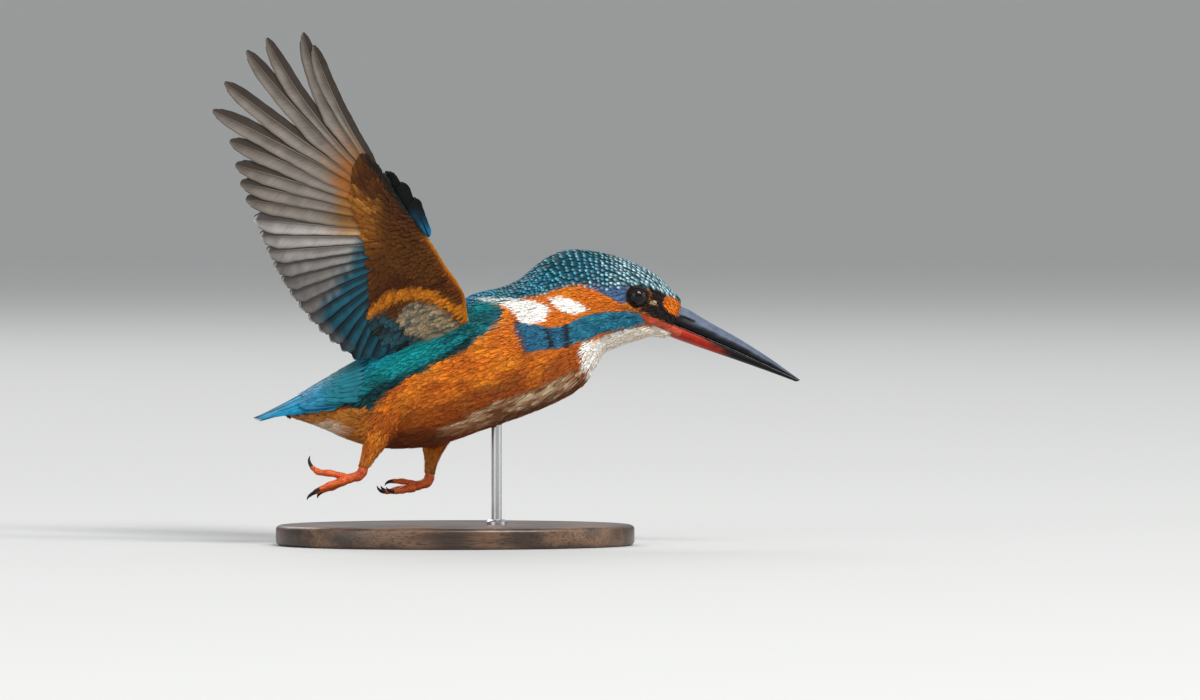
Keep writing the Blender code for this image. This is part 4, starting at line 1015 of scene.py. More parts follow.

# The bill: two horny sheaths over the jaws. The upper one is black with a painted bluish sky reflection on
# its upper half, a keeled ridge, a groove and a slit of a nostril on each side, and the lower one is red with
# a black point, as in an adult hen.
MOUTH = [(55.1, 67.4), (63.5, 63.9), (72.1, 60.3), (81.5, 56.25), (90.8, 51.9), (99.9, 47.65)]
CULMEN = [(56.5, 71.1), (65.8, 69.1), (73.9, 64.6), (82.6, 59.7), (91.3, 54.15), (100, 47.95)]
GONYS = [(56.5, 63.4), (61.8, 60.7), (71, 57.3), (81.2, 53.8), (90.5, 50.5), (98.9, 47.4)]
UPPER_HALF, LOWER_HALF = [6.2, 4.3, 3.2, 2.2, 1.3, 0.14], [6.0, 4.1, 3.0, 2.0, 1.2, 0.14]
MOUTH_SLIT = 0.02
BILL_STATIONS, BILL_CORNERS = 170, 56
BILL_POWER, MOUTH_POWER = 1.7, 4.5  # of its oval section at the ridge and at the mouth, where 2 is an ellipse
NOSTRIL, NOSTRIL_HALF, NOSTRIL_DEPTH = (67.2, 65.6), (2.4, 0.4), 0.55
NOSTRIL_SLOPE = math.atan2(-2.4, 6.1)
RED_TO = 77.0
BILL_RED, BILL_BRIGHT, TIP_BROWN = (0.34, 0.018, 0.006), (0.46, 0.055, 0.02), (0.05, 0.02, 0.014)
# The slate is a painted bluish reflection on the upper sheath.
BILL_SKY_SHEEN, BILL_BLACK = (0.115, 0.145, 0.205), (0.002, 0.002, 0.003)


def bill_half(edge, ridge, widths, turn, mouth_side):
    """Rings of points of one half of the bill. mouth_side is the sign of its edge at the mouth."""
    share = np.linspace(0, 1, BILL_STATIONS)
    mouth, top = curve(edge, share), curve(ridge, share)
    width = curve(together(widths), share)[:, 0]
    high, wide = np.sin(turn), np.cos(turn)
    power = np.where(high * mouth_side > 0, MOUTH_POWER, BILL_POWER)
    high, wide = (np.sign(way) * np.abs(way) ** (2 / power) for way in (high, wide))
    keel = 1 - 0.22 * np.clip(-high * mouth_side, 0, 1) ** 3
    middle, half = (mouth + top) / 2, (top - mouth) / 2
    flat = middle[:, None] + half[:, None] * high[None, :, None]
    y = width[:, None] * (wide * keel)[None]
    groove = 0.16 * np.exp(-((high + 0.12 * mouth_side) / 0.16) ** 2) * step(0.62 - share, 0.3)[:, None]
    y = y - np.sign(y) * np.minimum(groove * width[:, None] / 4, np.abs(y) * 0.5)
    return together(flat[..., 0], y, flat[..., 1]), share


def with_nostrils(points):
    """Presses a slit into both sides of the upper sheath, and says how deep each place is in it."""
    x, z = points[..., 0] - NOSTRIL[0], points[..., 2] - NOSTRIL[1]
    along = x * math.cos(NOSTRIL_SLOPE) + z * math.sin(NOSTRIL_SLOPE)
    over = -x * math.sin(NOSTRIL_SLOPE) + z * math.cos(NOSTRIL_SLOPE)
    dent = NOSTRIL_DEPTH * np.exp(-((along / NOSTRIL_HALF[0]) ** 4) - (over / NOSTRIL_HALF[1]) ** 2)
    points[..., 1] -= np.sign(points[..., 1]) * np.minimum(dent, np.abs(points[..., 1]) * 0.8)
    return points, dent / NOSTRIL_DEPTH


def horn_finish(name, roughness):
    """Horn of the bill and the claws: a smooth gloss, fine lines along it and a few duller worn patches."""
    made = finish(name, roughness=roughness, specular_ior_level=0.18)
    place = place_on(made)
    lean = stretched(made, place, (90.0, 2200.0, 2200.0), Rotation=(0.0, math.radians(-27), 0.0))
    wear = grain(made, place, 420.0, 4.0)
    worn = ramp(made, wear, (0.32, (0.72, 0.72, 0.75)), (0.68, (1.15, 1.12, 1.1)))
    return shaded(made, painted(made), worn,
                  normal=bumps(made, grain(made, lean, 1.0, 3.0), 0.2, 0.00008),
                  roughness=sums(made, "MULTIPLY_ADD", wear, 0.28, roughness - 0.1))


def plain_form(points, colours=(1, 1, 1)):
    """One closed form of rings, unwrapped along its rings, as a group of its own."""
    rings, corners = points.shape[:2]
    vane = np.stack(np.meshgrid(np.linspace(0, 1, corners), np.linspace(0, 1, rings)), axis=-1)
    return points[None], np.broadcast_to(colours, points.shape)[None], vane[None], vane[None]


horn = horn_finish("bill horn", 0.42)
around_bill = turns(BILL_CORNERS)
upper, share = bill_half([(x, z + MOUTH_SLIT) for x, z in MOUTH], CULMEN, UPPER_HALF, around_bill, -1)
upper, dents = with_nostrils(upper)
# The upper half has a painted bluish reflection of the sky, fainter towards the tip.
above = step(np.sin(around_bill) - 0.12 + 0.12 * noise(upper, (6.0, 1.0, 1.0), 43), 0.32)
upper_colour = mix(mix(BILL_BLACK, BILL_SKY_SHEEN, above * (1 - 0.3 * share[:, None])), BILL_BLACK, 2 * dents)
upper_colour = mix(upper_colour, TIP_BROWN, 0.5 * step(share - 0.93, 0.08)[:, None])
upper_bill = piece("bill_upper_horn", [plain_form(upper, upper_colour)], horn, "upper_bill", "bill_upper")
lower, share = bill_half(GONYS, [(x, z - MOUTH_SLIT) for x, z in MOUTH], LOWER_HALF, around_bill, 1)
dark_edge = step(lower[..., 2] - (63.6 - 0.43 * (lower[..., 0] - 64) - 0.4), 0.8)
red_share = step(RED_TO - lower[..., 0] + 1.6 * noise(lower, (3.0, 1.2, 1.2), 41) - 6.0 * dark_edge, 4.0)
lower_colour = mix(BILL_BLACK, mix(BILL_RED, BILL_BRIGHT, noise(lower, 2.5, 42)), red_share)
lower_bill = piece("bill_lower_horn", [plain_form(lower, lower_colour)], horn, "lower_bill", "bill_lower")

# The gape: bare red skin at the corners of the mouth, which runs back from the lower sheath below the lores.
# It is a soft swelling over the skin and the sheath's root.
GAPE_TOP = [(53.2, 67.6), (56, 66.7), (60, 65.2), (63.5, 63.7), (67, 62.2)]
GAPE_LOW = [(53, 67), (55.4, 64.5), (59.2, 62.9), (62.8, 61.2), (66, 59.6)]
GAPE_SWELL, GAPE_SINK, GAPE_BACK = 0.42, 0.12, 0.75
GAPE_ROWS, GAPE_COLUMNS = 44, 15
GAPE_RED, GAPE_PINK = (0.38, 0.045, 0.02), (0.5, 0.09, 0.045)
SIDES = ("right", -1), ("left", 1)


def gape_form(sign):
    """Rings of points of the swelling, thin at its edges."""
    bill_shell = shell_of(lower_bill)
    share, side = np.linspace(0, 1, GAPE_ROWS), np.linspace(0, 1, GAPE_COLUMNS)
    top, low = curve(GAPE_TOP, share)[:, None], curve(GAPE_LOW, share)[:, None]
    flat = top * (1 - side[:, None]) + low * side[:, None]
    rings = np.empty((GAPE_ROWS, 2 * GAPE_COLUMNS, 3))
    for k, c in itertools.product(range(GAPE_ROWS), range(GAPE_COLUMNS)):
        x, z = flat[k, c]
        reach = max(reach_at(shell, x, z, sign) for shell in (skin_ground, bill_shell))
        swell = GAPE_SWELL * (1 - (2 * side[c] - 1) ** 4) * min(1, 6 * share[k])
        swell *= min(1, 3.5 * (1 - share[k]))
        rings[k, c] = x, sign * (reach - GAPE_SINK + swell), z
        rings[k, -1 - c] = x, sign * (reach - GAPE_BACK), z
    return rings


for side, sign in SIDES:
    rings = gape_form(sign)
    pink = mix(GAPE_RED, GAPE_PINK, 0.3 + 0.8 * noise(rings, (2.0, 2.0, 0.6), 44))
    piece("gape_" + side, [plain_form(rings, pink)], horn_finish("gape skin " + side, 0.42), "lower_bill")

# The eyes: dark brown with a wide black pupil, glossy and wet, in a rim of bare black skin. The lids are a
# thick rim that is pointed at its corners, over a thin ring of small beads.
EYE_DEPTH = 0.25  # how much deeper the eyeball sits than its solid
EYEBALL, PUPIL, IRIS = 3.3, 1.55, 2.55
CORNEA_RADIUS, CORNEA_SWELL = 1.9, 0.16
LID_HALF_LENGTH, LID_HALF_HEIGHT, LID_RADIUS = 2.62, 2.48, 0.24
BEADS_OUT, BEADS_RADIUS, BEADS_ROUND = 0.26, 0.19, 30
EYE_RINGS, EYE_CORNERS, LID_STATIONS, LID_CORNERS = 60, 96, 145, 12
PUPIL_BLACK, EYE_EDGE = (0.002, 0.002, 0.002), (0.004, 0.003, 0.003)
IRIS_DARK, IRIS_BROWN = (0.004, 0.002, 0.002), (0.012, 0.005, 0.003)
LID_BLACK, BEAD_BLACK = (0.006, 0.005, 0.005), (0.01, 0.007, 0.006)


def eyeball_form(centre, sign):
    """A ball with a clear swelling over its pupil, as rings round the way that it looks."""
    rings, turn = np.linspace(0.02, math.pi * 0.62, EYE_RINGS), turns(EYE_CORNERS)
    radius = EYEBALL * np.sin(rings)
    out = EYEBALL * np.cos(rings)
    out = out + CORNEA_SWELL * np.exp(-(radius / CORNEA_RADIUS) ** 4) * (rings < math.pi / 2)
    radius, out = radius[:, None], out[:, None]
    points = together(centre[0] + radius * np.cos(turn), centre[1] + sign * out,
                      centre[2] + radius * np.sin(turn))
    rays = noise(together(np.cos(turn) * 9, np.sin(turn) * 9, 0), 1.0, 51)
    iris = mix(IRIS_DARK, IRIS_BROWN, 0.5 + 0.5 * rays)
    return plain_form(points, mix(mix(PUPIL_BLACK, iris, step(radius - PUPIL, 0.08)), EYE_EDGE,
                                  step(radius - IRIS, 0.2)))


def lid_ring(centre, sign, wider, radius, out, colour, beads=0.0):
    """A closed tube round the eye, thicker over it and pointed at its corners. Its ends meet."""
    turn = np.linspace(0, 2 * math.pi, LID_STATIONS)
    x = (LID_HALF_LENGTH + wider) * np.cos(turn) * (1 + 0.07 * np.abs(np.cos(turn)) ** 12)
    z = (LID_HALF_HEIGHT + wider) * np.sin(turn) * (1 - 0.04 * np.cos(turn) ** 2)
    seat = np.sqrt(np.clip(EYEBALL**2 - x**2 - z**2, 0.2, None)) + out
    middle = together(centre[0] + x, centre[1] + sign * seat, centre[2] + z)
    away = unit(together(x, 0, z))
    thick = (radius * (1 + 0.22 * np.sin(turn)) * (1 + beads * np.sin(turn * BEADS_ROUND)))[:, None]
    around = turns(LID_CORNERS)
    return plain_form(middle[:, None] + away[:, None] * (thick * np.cos(around))[..., None]
                      + np.array((0, sign, 0)) * (thick * np.sin(around) * 0.8)[..., None], colour)


def eye_finish():
    """A wet gloss over a faintly clouded brown."""
    made = finish("wet eye", roughness=0.03, specular_ior_level=0.3)
    cloud = grain(made, place_on(made), 900.0, 2.0)
    return shaded(made, painted(made), ramp(made, cloud, (0.3, 0.8), (0.7, 1.2)))


def lid_finish():
    """Bare black skin in fine grains."""
    made = finish("lid skin", roughness=0.45, specular_ior_level=0.15)
    grains = node(made, "TexVoronoi", {"Vector": place_on(made), "Scale": 5200.0}).outputs["Distance"]
    return shaded(made, painted(made), ramp(made, grains, (0.1, 1.2), (0.6, 0.6)),
                  normal=bumps(made, grains, 0.35, 0.00006))


wet_eye, lid_skin = eye_finish(), lid_finish()
for side, sign in SIDES:
    centre = EYE_PLACE * (1, sign, 1) - np.array((0, sign * EYE_DEPTH, 0))
    piece("eyeball_" + side, [eyeball_form(centre, sign)], wet_eye, "eye", "eye_" + side)
    lid = lid_ring(centre, sign, 0.0, LID_RADIUS, 0.02, LID_BLACK)
    beads = lid_ring(centre, sign, BEADS_OUT, BEADS_RADIUS, 0.0, BEAD_BLACK, 0.3)
    piece("lids_" + side, [lid, beads], lid_skin, "eye")

# The feet: short soft shanks and toes of orange-red skin, with small scales above and pads below. The two
# outer toes are joined at their roots. Each toe ends in a thin curved claw of dark horn.
FEET = {  # the leg's y, then (x, y outwards from the leg, z, radius) along the shank and each toe
    "right": (-9.2, {
        "shank": [(-26.2, 0, 25, 1.35), (-26.8, 0, 22.2, 1.45), (-27.9, 0, 20.6, 1.5),
                  (-30.2, 0, 19.9, 1.4), (-32.2, 0, 19.3, 1.5)],
        "hallux": [(-31.6, -0.6, 19.9, 1.1), (-35.6, -0.9, 21.1, 1), (-39.4, -1, 21.5, 0.95),
                   (-41.4, -1, 22.8, 0.75)],
        "inner": [(-31.6, -1.3, 19.2, 1.1), (-35, -2, 17.4, 1), (-37.8, -2.45, 16.3, 0.72)],
        "middle": [(-31.8, 0, 19.2, 1.3), (-36.2, -0.2, 17.6, 1.15), (-40.2, -0.3, 15.9, 0.75)],
        "outer": [(-31.8, 1.2, 19.4, 1.2), (-35.8, 1.5, 18, 1.1), (-39, 1.7, 16.9, 0.75)],
    }),
    "left": (8.6, {
        "shank": [(-7.2, 0, 22.6, 1.3), (-7.3, 0, 19.9, 1.45), (-7.9, 0, 18.1, 1.5), (-10.2, 0, 17.2, 1.4),
                  (-12, 0, 16.8, 1.5)],
        "hallux": [(-11.6, -0.8, 17.4, 1), (-14.6, -1.6, 18.2, 0.9), (-17.7, -2.2, 18.4, 0.75)],
        "inner": [(-11.6, -1.3, 16.6, 1.1), (-14.8, -2.3, 15.8, 1), (-17.3, -2.8, 15.5, 0.72)],
        "middle": [(-11.6, 0, 16.5, 1.3), (-16, -0.1, 15.8, 1.15), (-19.8, -0.1, 15.2, 0.75)],
        "outer": [(-11.6, 1.2, 16.6, 1.2), (-15.6, 1.6, 15.9, 1.1), (-18.8, 1.8, 15.4, 0.75)],
    }),
}
CLAWS = {  # (x, y outwards from the leg, z) along each claw
    "right": {
        "hallux": [(-41.2, -1, 22.5), (-42.1, -1, 23.9), (-42.4, -1, 25.2), (-42.1, -1, 26.3)],
        "inner": [(-37.6, -2.4, 16.4), (-39, -2.55, 15.6), (-39.8, -2.6, 14.7), (-40, -2.6, 13.9)],
        "middle": [(-40, -0.3, 16), (-41.5, -0.35, 15.3), (-42.6, -0.4, 14.4), (-43, -0.4, 13.5)],
        "outer": [(-38.8, 1.7, 17), (-40.4, 1.85, 16.3), (-41.5, 1.9, 15.4), (-41.9, 1.9, 14.5)],
    },
    "left": {
        "hallux": [(-17.5, -2.2, 18.4), (-18.9, -2.5, 18.3), (-19.9, -2.65, 17.8), (-20.4, -2.7, 17.1)],
        "inner": [(-17.2, -2.8, 15.5), (-18.6, -3.1, 15.55), (-19.5, -3.25, 16), (-20, -3.3, 16.7)],
        "middle": [(-19.6, -0.1, 15.2), (-21.1, -0.1, 15.3), (-22.2, -0.1, 16.1), (-22.6, -0.1, 17)],
        "outer": [(-18.6, 1.8, 15.4), (-20.1, 1.95, 15.5), (-21.1, 2, 16.2), (-21.5, 2, 16.9)],
    },
}
CLAW_RADII, CLAW_STATIONS, CLAW_CORNERS = [0.62, 0.52, 0.32, 0.07], 30, 14
CLAW_BLACK, CLAW_BROWN = (0.014, 0.01, 0.009), (0.07, 0.035, 0.022)
SKIN_VOXEL, SKIN_SMOOTHING = 0.16, 4
TOE_BALL, BALL_STATIONS = 0.75, (-0.9, 0, 0.7, 0.99)  # the ball at a toe's end, and its rings along the toe


def tube_rings(path, corners=16, stations=40, swell=0.0):
    """Rings along a smooth path of (x, y, z, radius), with soft pads along a toe."""
    share = np.linspace(0, 1, stations)
    line = curve(path, share)
    radius = (line[:, 3] * (1 + swell * np.sin(share * math.pi * 2 * (len(path) - 1))))[:, None]
    ahead = unit(np.gradient(line[:, :3], axis=0))
    side = unit(np.cross(ahead, (0.03, 1.0, 0.02)))
    other = np.cross(ahead, side)
    turn = turns(corners)
    return (line[:, None, :3] + side[:, None] * (radius * np.cos(turn))[..., None]
            + other[:, None] * (radius * np.sin(turn))[..., None])


def placed(path, leg_y):
    """A foot's path in the bird's frame. Its y runs outwards from the leg."""
    return [(x, leg_y + math.copysign(1.0, leg_y) * y, z, *rest) for x, y, z, *rest in path]


def foot_mesh(name, leg_y, paths):
    """Shank and toes as one skin, drawn over tubes with a ball at the end of each toe."""
    groups = []
    for part, path in paths.items():
        path = placed(path, leg_y)
        groups.append(plain_form(tube_rings(path, swell=0.05 if part == "shank" else 0.09)))
        if part != "shank":
            end, ahead = np.array(path[-1][:3]), np.array(path[-1][:3]) - np.array(path[-2][:3])
            ahead = ahead / np.linalg.norm(ahead)
            ball = [(*(end + ahead * d * TOE_BALL), TOE_BALL * math.sqrt(1 - d * d)) for d in BALL_STATIONS]
            groups.append(plain_form(tube_rings(ball, stations=12)))
    mesh = drawn_over(solid_mesh("foot", groups), SKIN_VOXEL, SKIN_SMOOTHING)
    mesh.name = name
    mesh.shade_smooth()
    return mesh


def foot_finish():
    """Soft orange-red skin in small scales, with painted shade in the creases between them."""
    made = finish("foot skin", roughness=0.42, specular_ior_level=0.45, subsurface_weight=0.1,
                  subsurface_scale=0.0008, subsurface_radius=(1.0, 0.3, 0.15))
    place = place_on(made)
    cells = node(made, "TexVoronoi", {"Vector": place, "Scale": 1700.0, "Randomness": 0.7},
                 feature="DISTANCE_TO_EDGE").outputs["Distance"]
    # Painted shade in the creases between the scales.
    crease_shade = ramp(made, cells, (0.0, (0.32, 0.22, 0.2)), (0.1, (0.9, 0.85, 0.82)), (0.25, 1.0))
    colour = ramp(made, grain(made, place, 330.0, 4.0),
                  (0.3, (0.46, 0.055, 0.005)), (0.5, (0.7, 0.112, 0.008)), (0.72, (0.82, 0.19, 0.018)))
    return shaded(made, colour, crease_shade, normal=bumps(made, crease_shade, 0.6, 0.00012))


foot_skin, claw_horn = foot_finish(), horn_finish("claw horn", 0.34)
pale_share = (1 - np.linspace(0, 2.2, CLAW_STATIONS))[:, None] * np.ones(CLAW_CORNERS)
claw_colours = mix(CLAW_BLACK, CLAW_BROWN, pale_share)
for side, (leg_y, paths) in FEET.items():
    foot = foot_mesh("foot_" + side, leg_y, paths)
    settle("foot_" + side, foot, foot_skin, "leg_skin", "leg_%s_foot" % side)
    for toe, path in CLAWS[side].items():
        path = [(*point, radius) for point, radius in zip(placed(path, leg_y), CLAW_RADII)]
        claw = plain_form(tube_rings(path, CLAW_CORNERS, CLAW_STATIONS), claw_colours)
        piece("claw_%s_%s" % (side, toe), [claw], claw_horn, "claw_horn", "leg_%s_claw_%s" % (side, toe))

# The coat of head, neck and trunk. Small round-tipped feathers grow from the skin in staggered rings round
# the body, like the tiles of a roof, from the bill back to the tail, and fine loose wisps break their edges.
BODY_LINE = [(x, 0.0, z) for x, z in (
    (-50, 38.5), (-36.6, 39.6), (-23, 42), (-4, 48.5), (16, 56), (30, 65), (40, 70.5), (52, 70.5), (60, 67.5),
    (67, 64))]
LIE = [  # x, z, and the way the coat lies there
    (63, 72, -0.8, 0.6), (52, 82, -1, 0.25), (38, 86, -1, -0.1), (25, 81, -0.8, -0.6), (12, 74, -0.9, -0.4),
    (-10, 64, -0.9, -0.45), (-32, 50, -0.88, -0.47), (58, 66, -0.95, 0), (45, 70, -1, -0.15),
    (32, 68, -1, -0.2), (40, 60, -1, -0.25), (58, 61, -1, -0.12), (43, 53, -0.7, -0.7), (36, 46, -0.85, -0.5),
    (20, 50, -0.9, -0.45), (15, 62, -0.9, -0.4), (0, 48, -0.92, -0.4), (10, 35, -1, -0.2),
    (-10, 30, -1, 0.05), (-25, 36, -0.95, 0.2), (-20, 45, -0.95, -0.3), (-40, 37, -1, 0.15),
    (-17, 40, -0.6, -0.8), (-21, 37, -0.45, -0.9),
]
PLUME_ROWS = (0.0, 0.32, 0.6, 0.82, 0.95, 1.0)
PLUME_SECTION = [(-1, -0.4), (-0.55, 0.5), (0, 0.9), (0.55, 0.5), (1, -0.4), (0, -0.9)]
FORMS = {name: [np.array(part, float) for part in parts] for name, parts in {
    # shares of a tuft's length, its width at each, and the corners of its section
    "plume": (PLUME_ROWS, (0.35, 0.8, 1.0, 0.92, 0.58, 0.2), PLUME_SECTION),
    "hackle": (PLUME_ROWS, (0.4, 0.85, 1.0, 0.78, 0.42, 0.08), PLUME_SECTION),
    "wisp": ((0.0, 0.35, 0.7, 1.0), (0.6, 1.0, 0.72, 0.1), [(-1, -0.5), (0, 0.8), (1, -0.5)]),
    "spotted": ((0.0, 0.3, 0.52, 0.66, 0.78, 0.9, 1.0), (0.4, 0.8, 1.0, 1.0, 0.9, 0.66, 0.22),
                [(-1, -0.4), (-0.6, 0.4), (0, 0.8), (0.6, 0.4), (1, -0.4), (0, -0.9)]),
}.items()}
UNWRAP_LENGTH = 150.0
FAR = 40.0  # a distance from the middle that lies outside the body
ROW_PITCH = 0.87  # how far apart the staggered rows lie, for tufts one apart in a row
TUFT_FOOT = -0.15  # the height of a tuft's root, in the skin
BURIED_UNDER = 0.45  # no tuft grows this deep under a wing or a thigh
SPLAY = 0.09  # how unevenly the tufts point
JITTER = 0.22  # of the roots in a row, as a share of their spacing
GAPE = [(53.2, 67.5), (58.4, 65.9), (64.5, 63.4), (64, 61.4), (60.6, 62.2), (57, 63.4), (54.9, 64.4)]
EYE_GAP = 3.05  # no tuft of the face grows nearer to the eye's middle
BARE_MIDDLE = 4.0  # the eyes lie further out from the middle of the head than this
CROWN_PALE, CROWN_WHITE, CROWN_BLOOM = (0.14, 0.62, 0.8), (0.74, 0.92, 0.95), (0.11, 0.16, 0.17)


def way_at(flat, table, blur):
    """The way the coat lies at flat places, from the nearest ways in a table."""
    spots, ways = np.split(np.array(table, float), 2, axis=1)
    weight = 1 / (((flat[:, None] - spots[None]) ** 2).sum(axis=-1) + blur) ** 2
    return unit(weight @ unit(ways))


def along_skin(ways, normals):
    """These ways laid down along the skin."""
    return unit(ways - normals * np.einsum("ij,ij->i", ways, normals)[:, None])


def lie_of(points, normals, table):
    """The way the coat lies at places of the skin."""
    way = way_at(points[:, ::2], table, 6.0)
    return along_skin(together(way[:, 0], 0, way[:, 1]), normals)


def axis_rings(line, ground, spacing, span, seed):
    """Roots in staggered rings round a line of (x, y, z): their places, normals and places in the unwrap."""
    dice = np.random.default_rng(seed)
    fine = curve(line, np.linspace(0, 1, 400))
    lengths = np.concatenate([[0], np.cumsum(np.linalg.norm(np.diff(fine, axis=0), axis=1))])
    around = np.linspace(0, 2 * math.pi, 61)
    found = []
    stations = np.arange(span[0] * lengths[-1], span[1] * lengths[-1], spacing * ROW_PITCH)
    for row, station in enumerate(stations):
        here, after, before = (np.array([np.interp(station + ahead, lengths, fine[:, k]) for k in range(3)])
                               for ahead in (0, 0.5, -0.5))
        ahead = unit(after - before)
        side = unit(np.cross(ahead, (0, 0, 1.0)))
        over = np.cross(side, ahead)

        def cast(turn):
            out = side * math.cos(turn) + over * math.sin(turn)
            return ground.ray_cast(Vector(here + out * FAR), Vector(-out), FAR)

        reach = np.array([FAR - hit[3] if hit[0] is not None else 0.0 for hit in map(cast, around)])
        ring = np.cumsum(np.hypot(np.diff(reach), (reach[1:] + reach[:-1]) / 2 * np.diff(around)))
        ring = np.concatenate([[0], ring])
        count = max(6, round(ring[-1] / spacing))
        steps = (np.arange(count) + 0.5 * (row % 2) + dice.uniform(-JITTER, JITTER, count)) / count
        for turn in np.interp(steps % 1 * ring[-1], ring, around):
            hit = cast(turn)
            if hit[0] is not None:
                found.append((hit[0][:], hit[1][:], (station / UNWRAP_LENGTH, turn / (2 * math.pi))))
    return [np.array(part) for part in zip(*found)]


def buried(points):
    """Whether each place lies well inside the whole skin, as under a wing or a thigh."""
    found = [(point, *skin_ground.find_nearest(point)) for point in points]
    return np.array([(Vector(point) - near).dot(normal) < -BURIED_UNDER for point, near, normal, *_ in found])


def combed(roots, ups, aheads, lengths, heights, form, ground):
    """Each tuft's middle line and its up direction: along the skin, and rising from root to tip."""
    shares = FORMS[form][0]
    paths = np.empty((len(roots), len(shares), 3))
    overs = np.empty_like(paths)
    spot, up, ahead = roots, ups, aheads
    for k, share in enumerate(shares):
        paths[:, k] = spot + up * (TUFT_FOOT + (heights - TUFT_FOOT) * share**0.75)[:, None]
        overs[:, k] = up
        if k + 1 < len(shares):
            spot = spot + ahead * (lengths * (shares[k + 1] - share))[:, None]
            found = [ground.find_nearest(point) for point in spot]
            spot = np.array([near[0][:] for near in found])
            up = unit(0.5 * up + 0.5 * np.array([near[1][:] for near in found]))
            ahead = along_skin(ahead, up)
    return paths, overs


def tufts(paths, overs, half_widths, colours, places, form, thickness=0.07, camber=0.12):
    """Closed forms along their middle lines. colours is (forms, 3) or (forms, rings, corners, 3)."""
    shares, widths, section = FORMS[form]
    sides = unit(np.cross(overs, np.gradient(paths, axis=1)))
    across = (half_widths[:, None] * widths[None])[..., None] * section[:, 0]
    lift = thickness / 2 * section[:, 1] * (1 - 0.5 * shares[:, None])
    lift = lift[None] - camber * across**2 / np.maximum(half_widths, 0.1)[:, None, None]
    points = paths[:, :, None] + sides[:, :, None] * across[..., None] + overs[:, :, None] * lift[..., None]
    along = np.linalg.norm(np.diff(paths, axis=1), axis=-1).sum(axis=1)[:, None] * shares
    vane = together(across, along[..., None])
    if colours.ndim == 2:
        shade = 0.8 + 0.26 * shares[:, None] * (1 - 0.18 * np.abs(section[:, 0]))
        colours = colours[:, None, None] * shade[None, ..., None]
    return closed_forms(points, colours, vane, places)


def varied(colours, seed, spread=0.09):
    """Each tuft's colour a little lighter or darker than the next."""
    dice = np.random.default_rng(seed)
    return colours * (1 + dice.uniform(-spread, spread, len(colours)))[:, None]


def tuft_colours(colours_of, paths, overs, seed):
    """One colour for each tuft, taken near its tip."""
    return varied(colours_of(paths[:, -2], overs[:, -2]), seed)


def coat_finish(name, roughness, sheen):
    """Small feathers: barbs at a slant from the shaft, and a soft bloom where light grazes them."""
    made = finish(name, roughness=roughness, specular_ior_level=0.14, sheen_weight=sheen, sheen_roughness=0.4)
    lines = barb_lines(made, 1.1, 0.3)[2]
    cloud = grain(made, place_on(made), 700.0, 3.0)
    return shaded(made, painted(made), ramp(made, cloud, (0.3, 0.86), (0.7, 1.1)),
                  normal=bumps(made, sums(made, "MULTIPLY_ADD", lines, 0.5, cloud), 0.2, 0.00004))


def from_eye(points):
    """Each place seen from the side, from the middle of the eye."""
    return points[:, 0] - EYE_PLACE[0], points[:, 2] - EYE_PLACE[2]


def in_outline(points, outline, margin):
    """Whether each place lies in an outline, or this near to it."""
    return depth_in(points[:, 0], points[:, 2], outline) > -margin


def clear_of_face(points):
    """Roots that don't grow in the eye's rim or on the gape's bare skin."""
    clear = (np.hypot(*from_eye(points)) > EYE_GAP) | (np.abs(points[:, 1]) < BARE_MIDDLE)
    return clear & ~in_outline(points, GAPE, 0.1)


def steered(roots, aheads, lengths):
    """Shortens the tufts before the eye so that their tips don't lie over it."""
    x, z = from_eye(roots)
    gap = np.hypot(x, z)
    towards = -(x * aheads[:, 0] + z * aheads[:, 2]) / np.maximum(gap, 0.1)
    room = np.where(towards > 0.25, (gap - EYE_GAP + 0.25) / np.maximum(towards, 0.25), np.inf)
    near = (np.abs(roots[:, 1]) > BARE_MIDDLE) & (gap < 9)
    return np.where(near, np.clip(np.minimum(lengths, room), 0.45, None), lengths)


def coat(spacing, length, half, keep, form="wisp", seed=1, span=(0, 1), height=0.9, spots=None, ground="body",
         line=BODY_LINE, lies=LIE, colours_of=body_colours):
    """A group of tufts round a line. length and half are numbers, or functions of the roots."""
    roots, normals, places = axis_rings(line, grounds[ground], spacing, span, seed)
    for keeps in (keep, lambda p, n: ~buried(p) & (clear_of_face(p) if ground == "body" else True)):
        kept = keeps(roots, normals)
        roots, normals, places = roots[kept], normals[kept], places[kept]
    count, dice = len(roots), np.random.default_rng(seed + 100)
    aheads = lie_of(roots, normals, lies)
    aheads = unit(aheads + dice.normal(0, SPLAY, count)[:, None] * np.cross(normals, aheads))
    long = (length(roots) if callable(length) else length) * dice.uniform(0.85, 1.12, count)
    if ground == "body":
        long = steered(roots, aheads, long)
    wide = (half(roots) if callable(half) else half) * dice.uniform(0.88, 1.12, count)
    tall = coat_depth(roots, ground) * height * dice.uniform(0.75, 1.0, count)
    paths, overs = combed(roots, normals, aheads, long, tall, form,
                          skin_ground if ground == "body" else grounds[ground])
    colours = tuft_colours(colours_of, paths, overs, seed + 200)
    if spots is not None:
        colours = spots(roots, colours, FORMS[form][0], FORMS[form][2][:, 0])
    return tufts(paths, overs, wide, colours, places, form)


def grows(least, more, start, blur):
    """A size of tufts that grows towards the tail, from a place along X."""
    return lambda roots: least + more * step(start - roots[:, 0], blur)


def on_shoulder(points):
    return (points[:, 0] < 18.5) & (points[:, 2] < 71.4)


def in_crown(points, normals):
    return in_outline(points, BACK, 0.15) & (points[:, 0] > CROWN_FROM - 4) & ~on_shoulder(points)


def in_back(points, normals):
    return in_outline(points, BACK, 0.6) & ((points[:, 0] <= CROWN_FROM) | on_shoulder(points))


def in_throat(points, normals):
    return in_outline(points, THROAT, 0.8) & (points[:, 0] > 33)


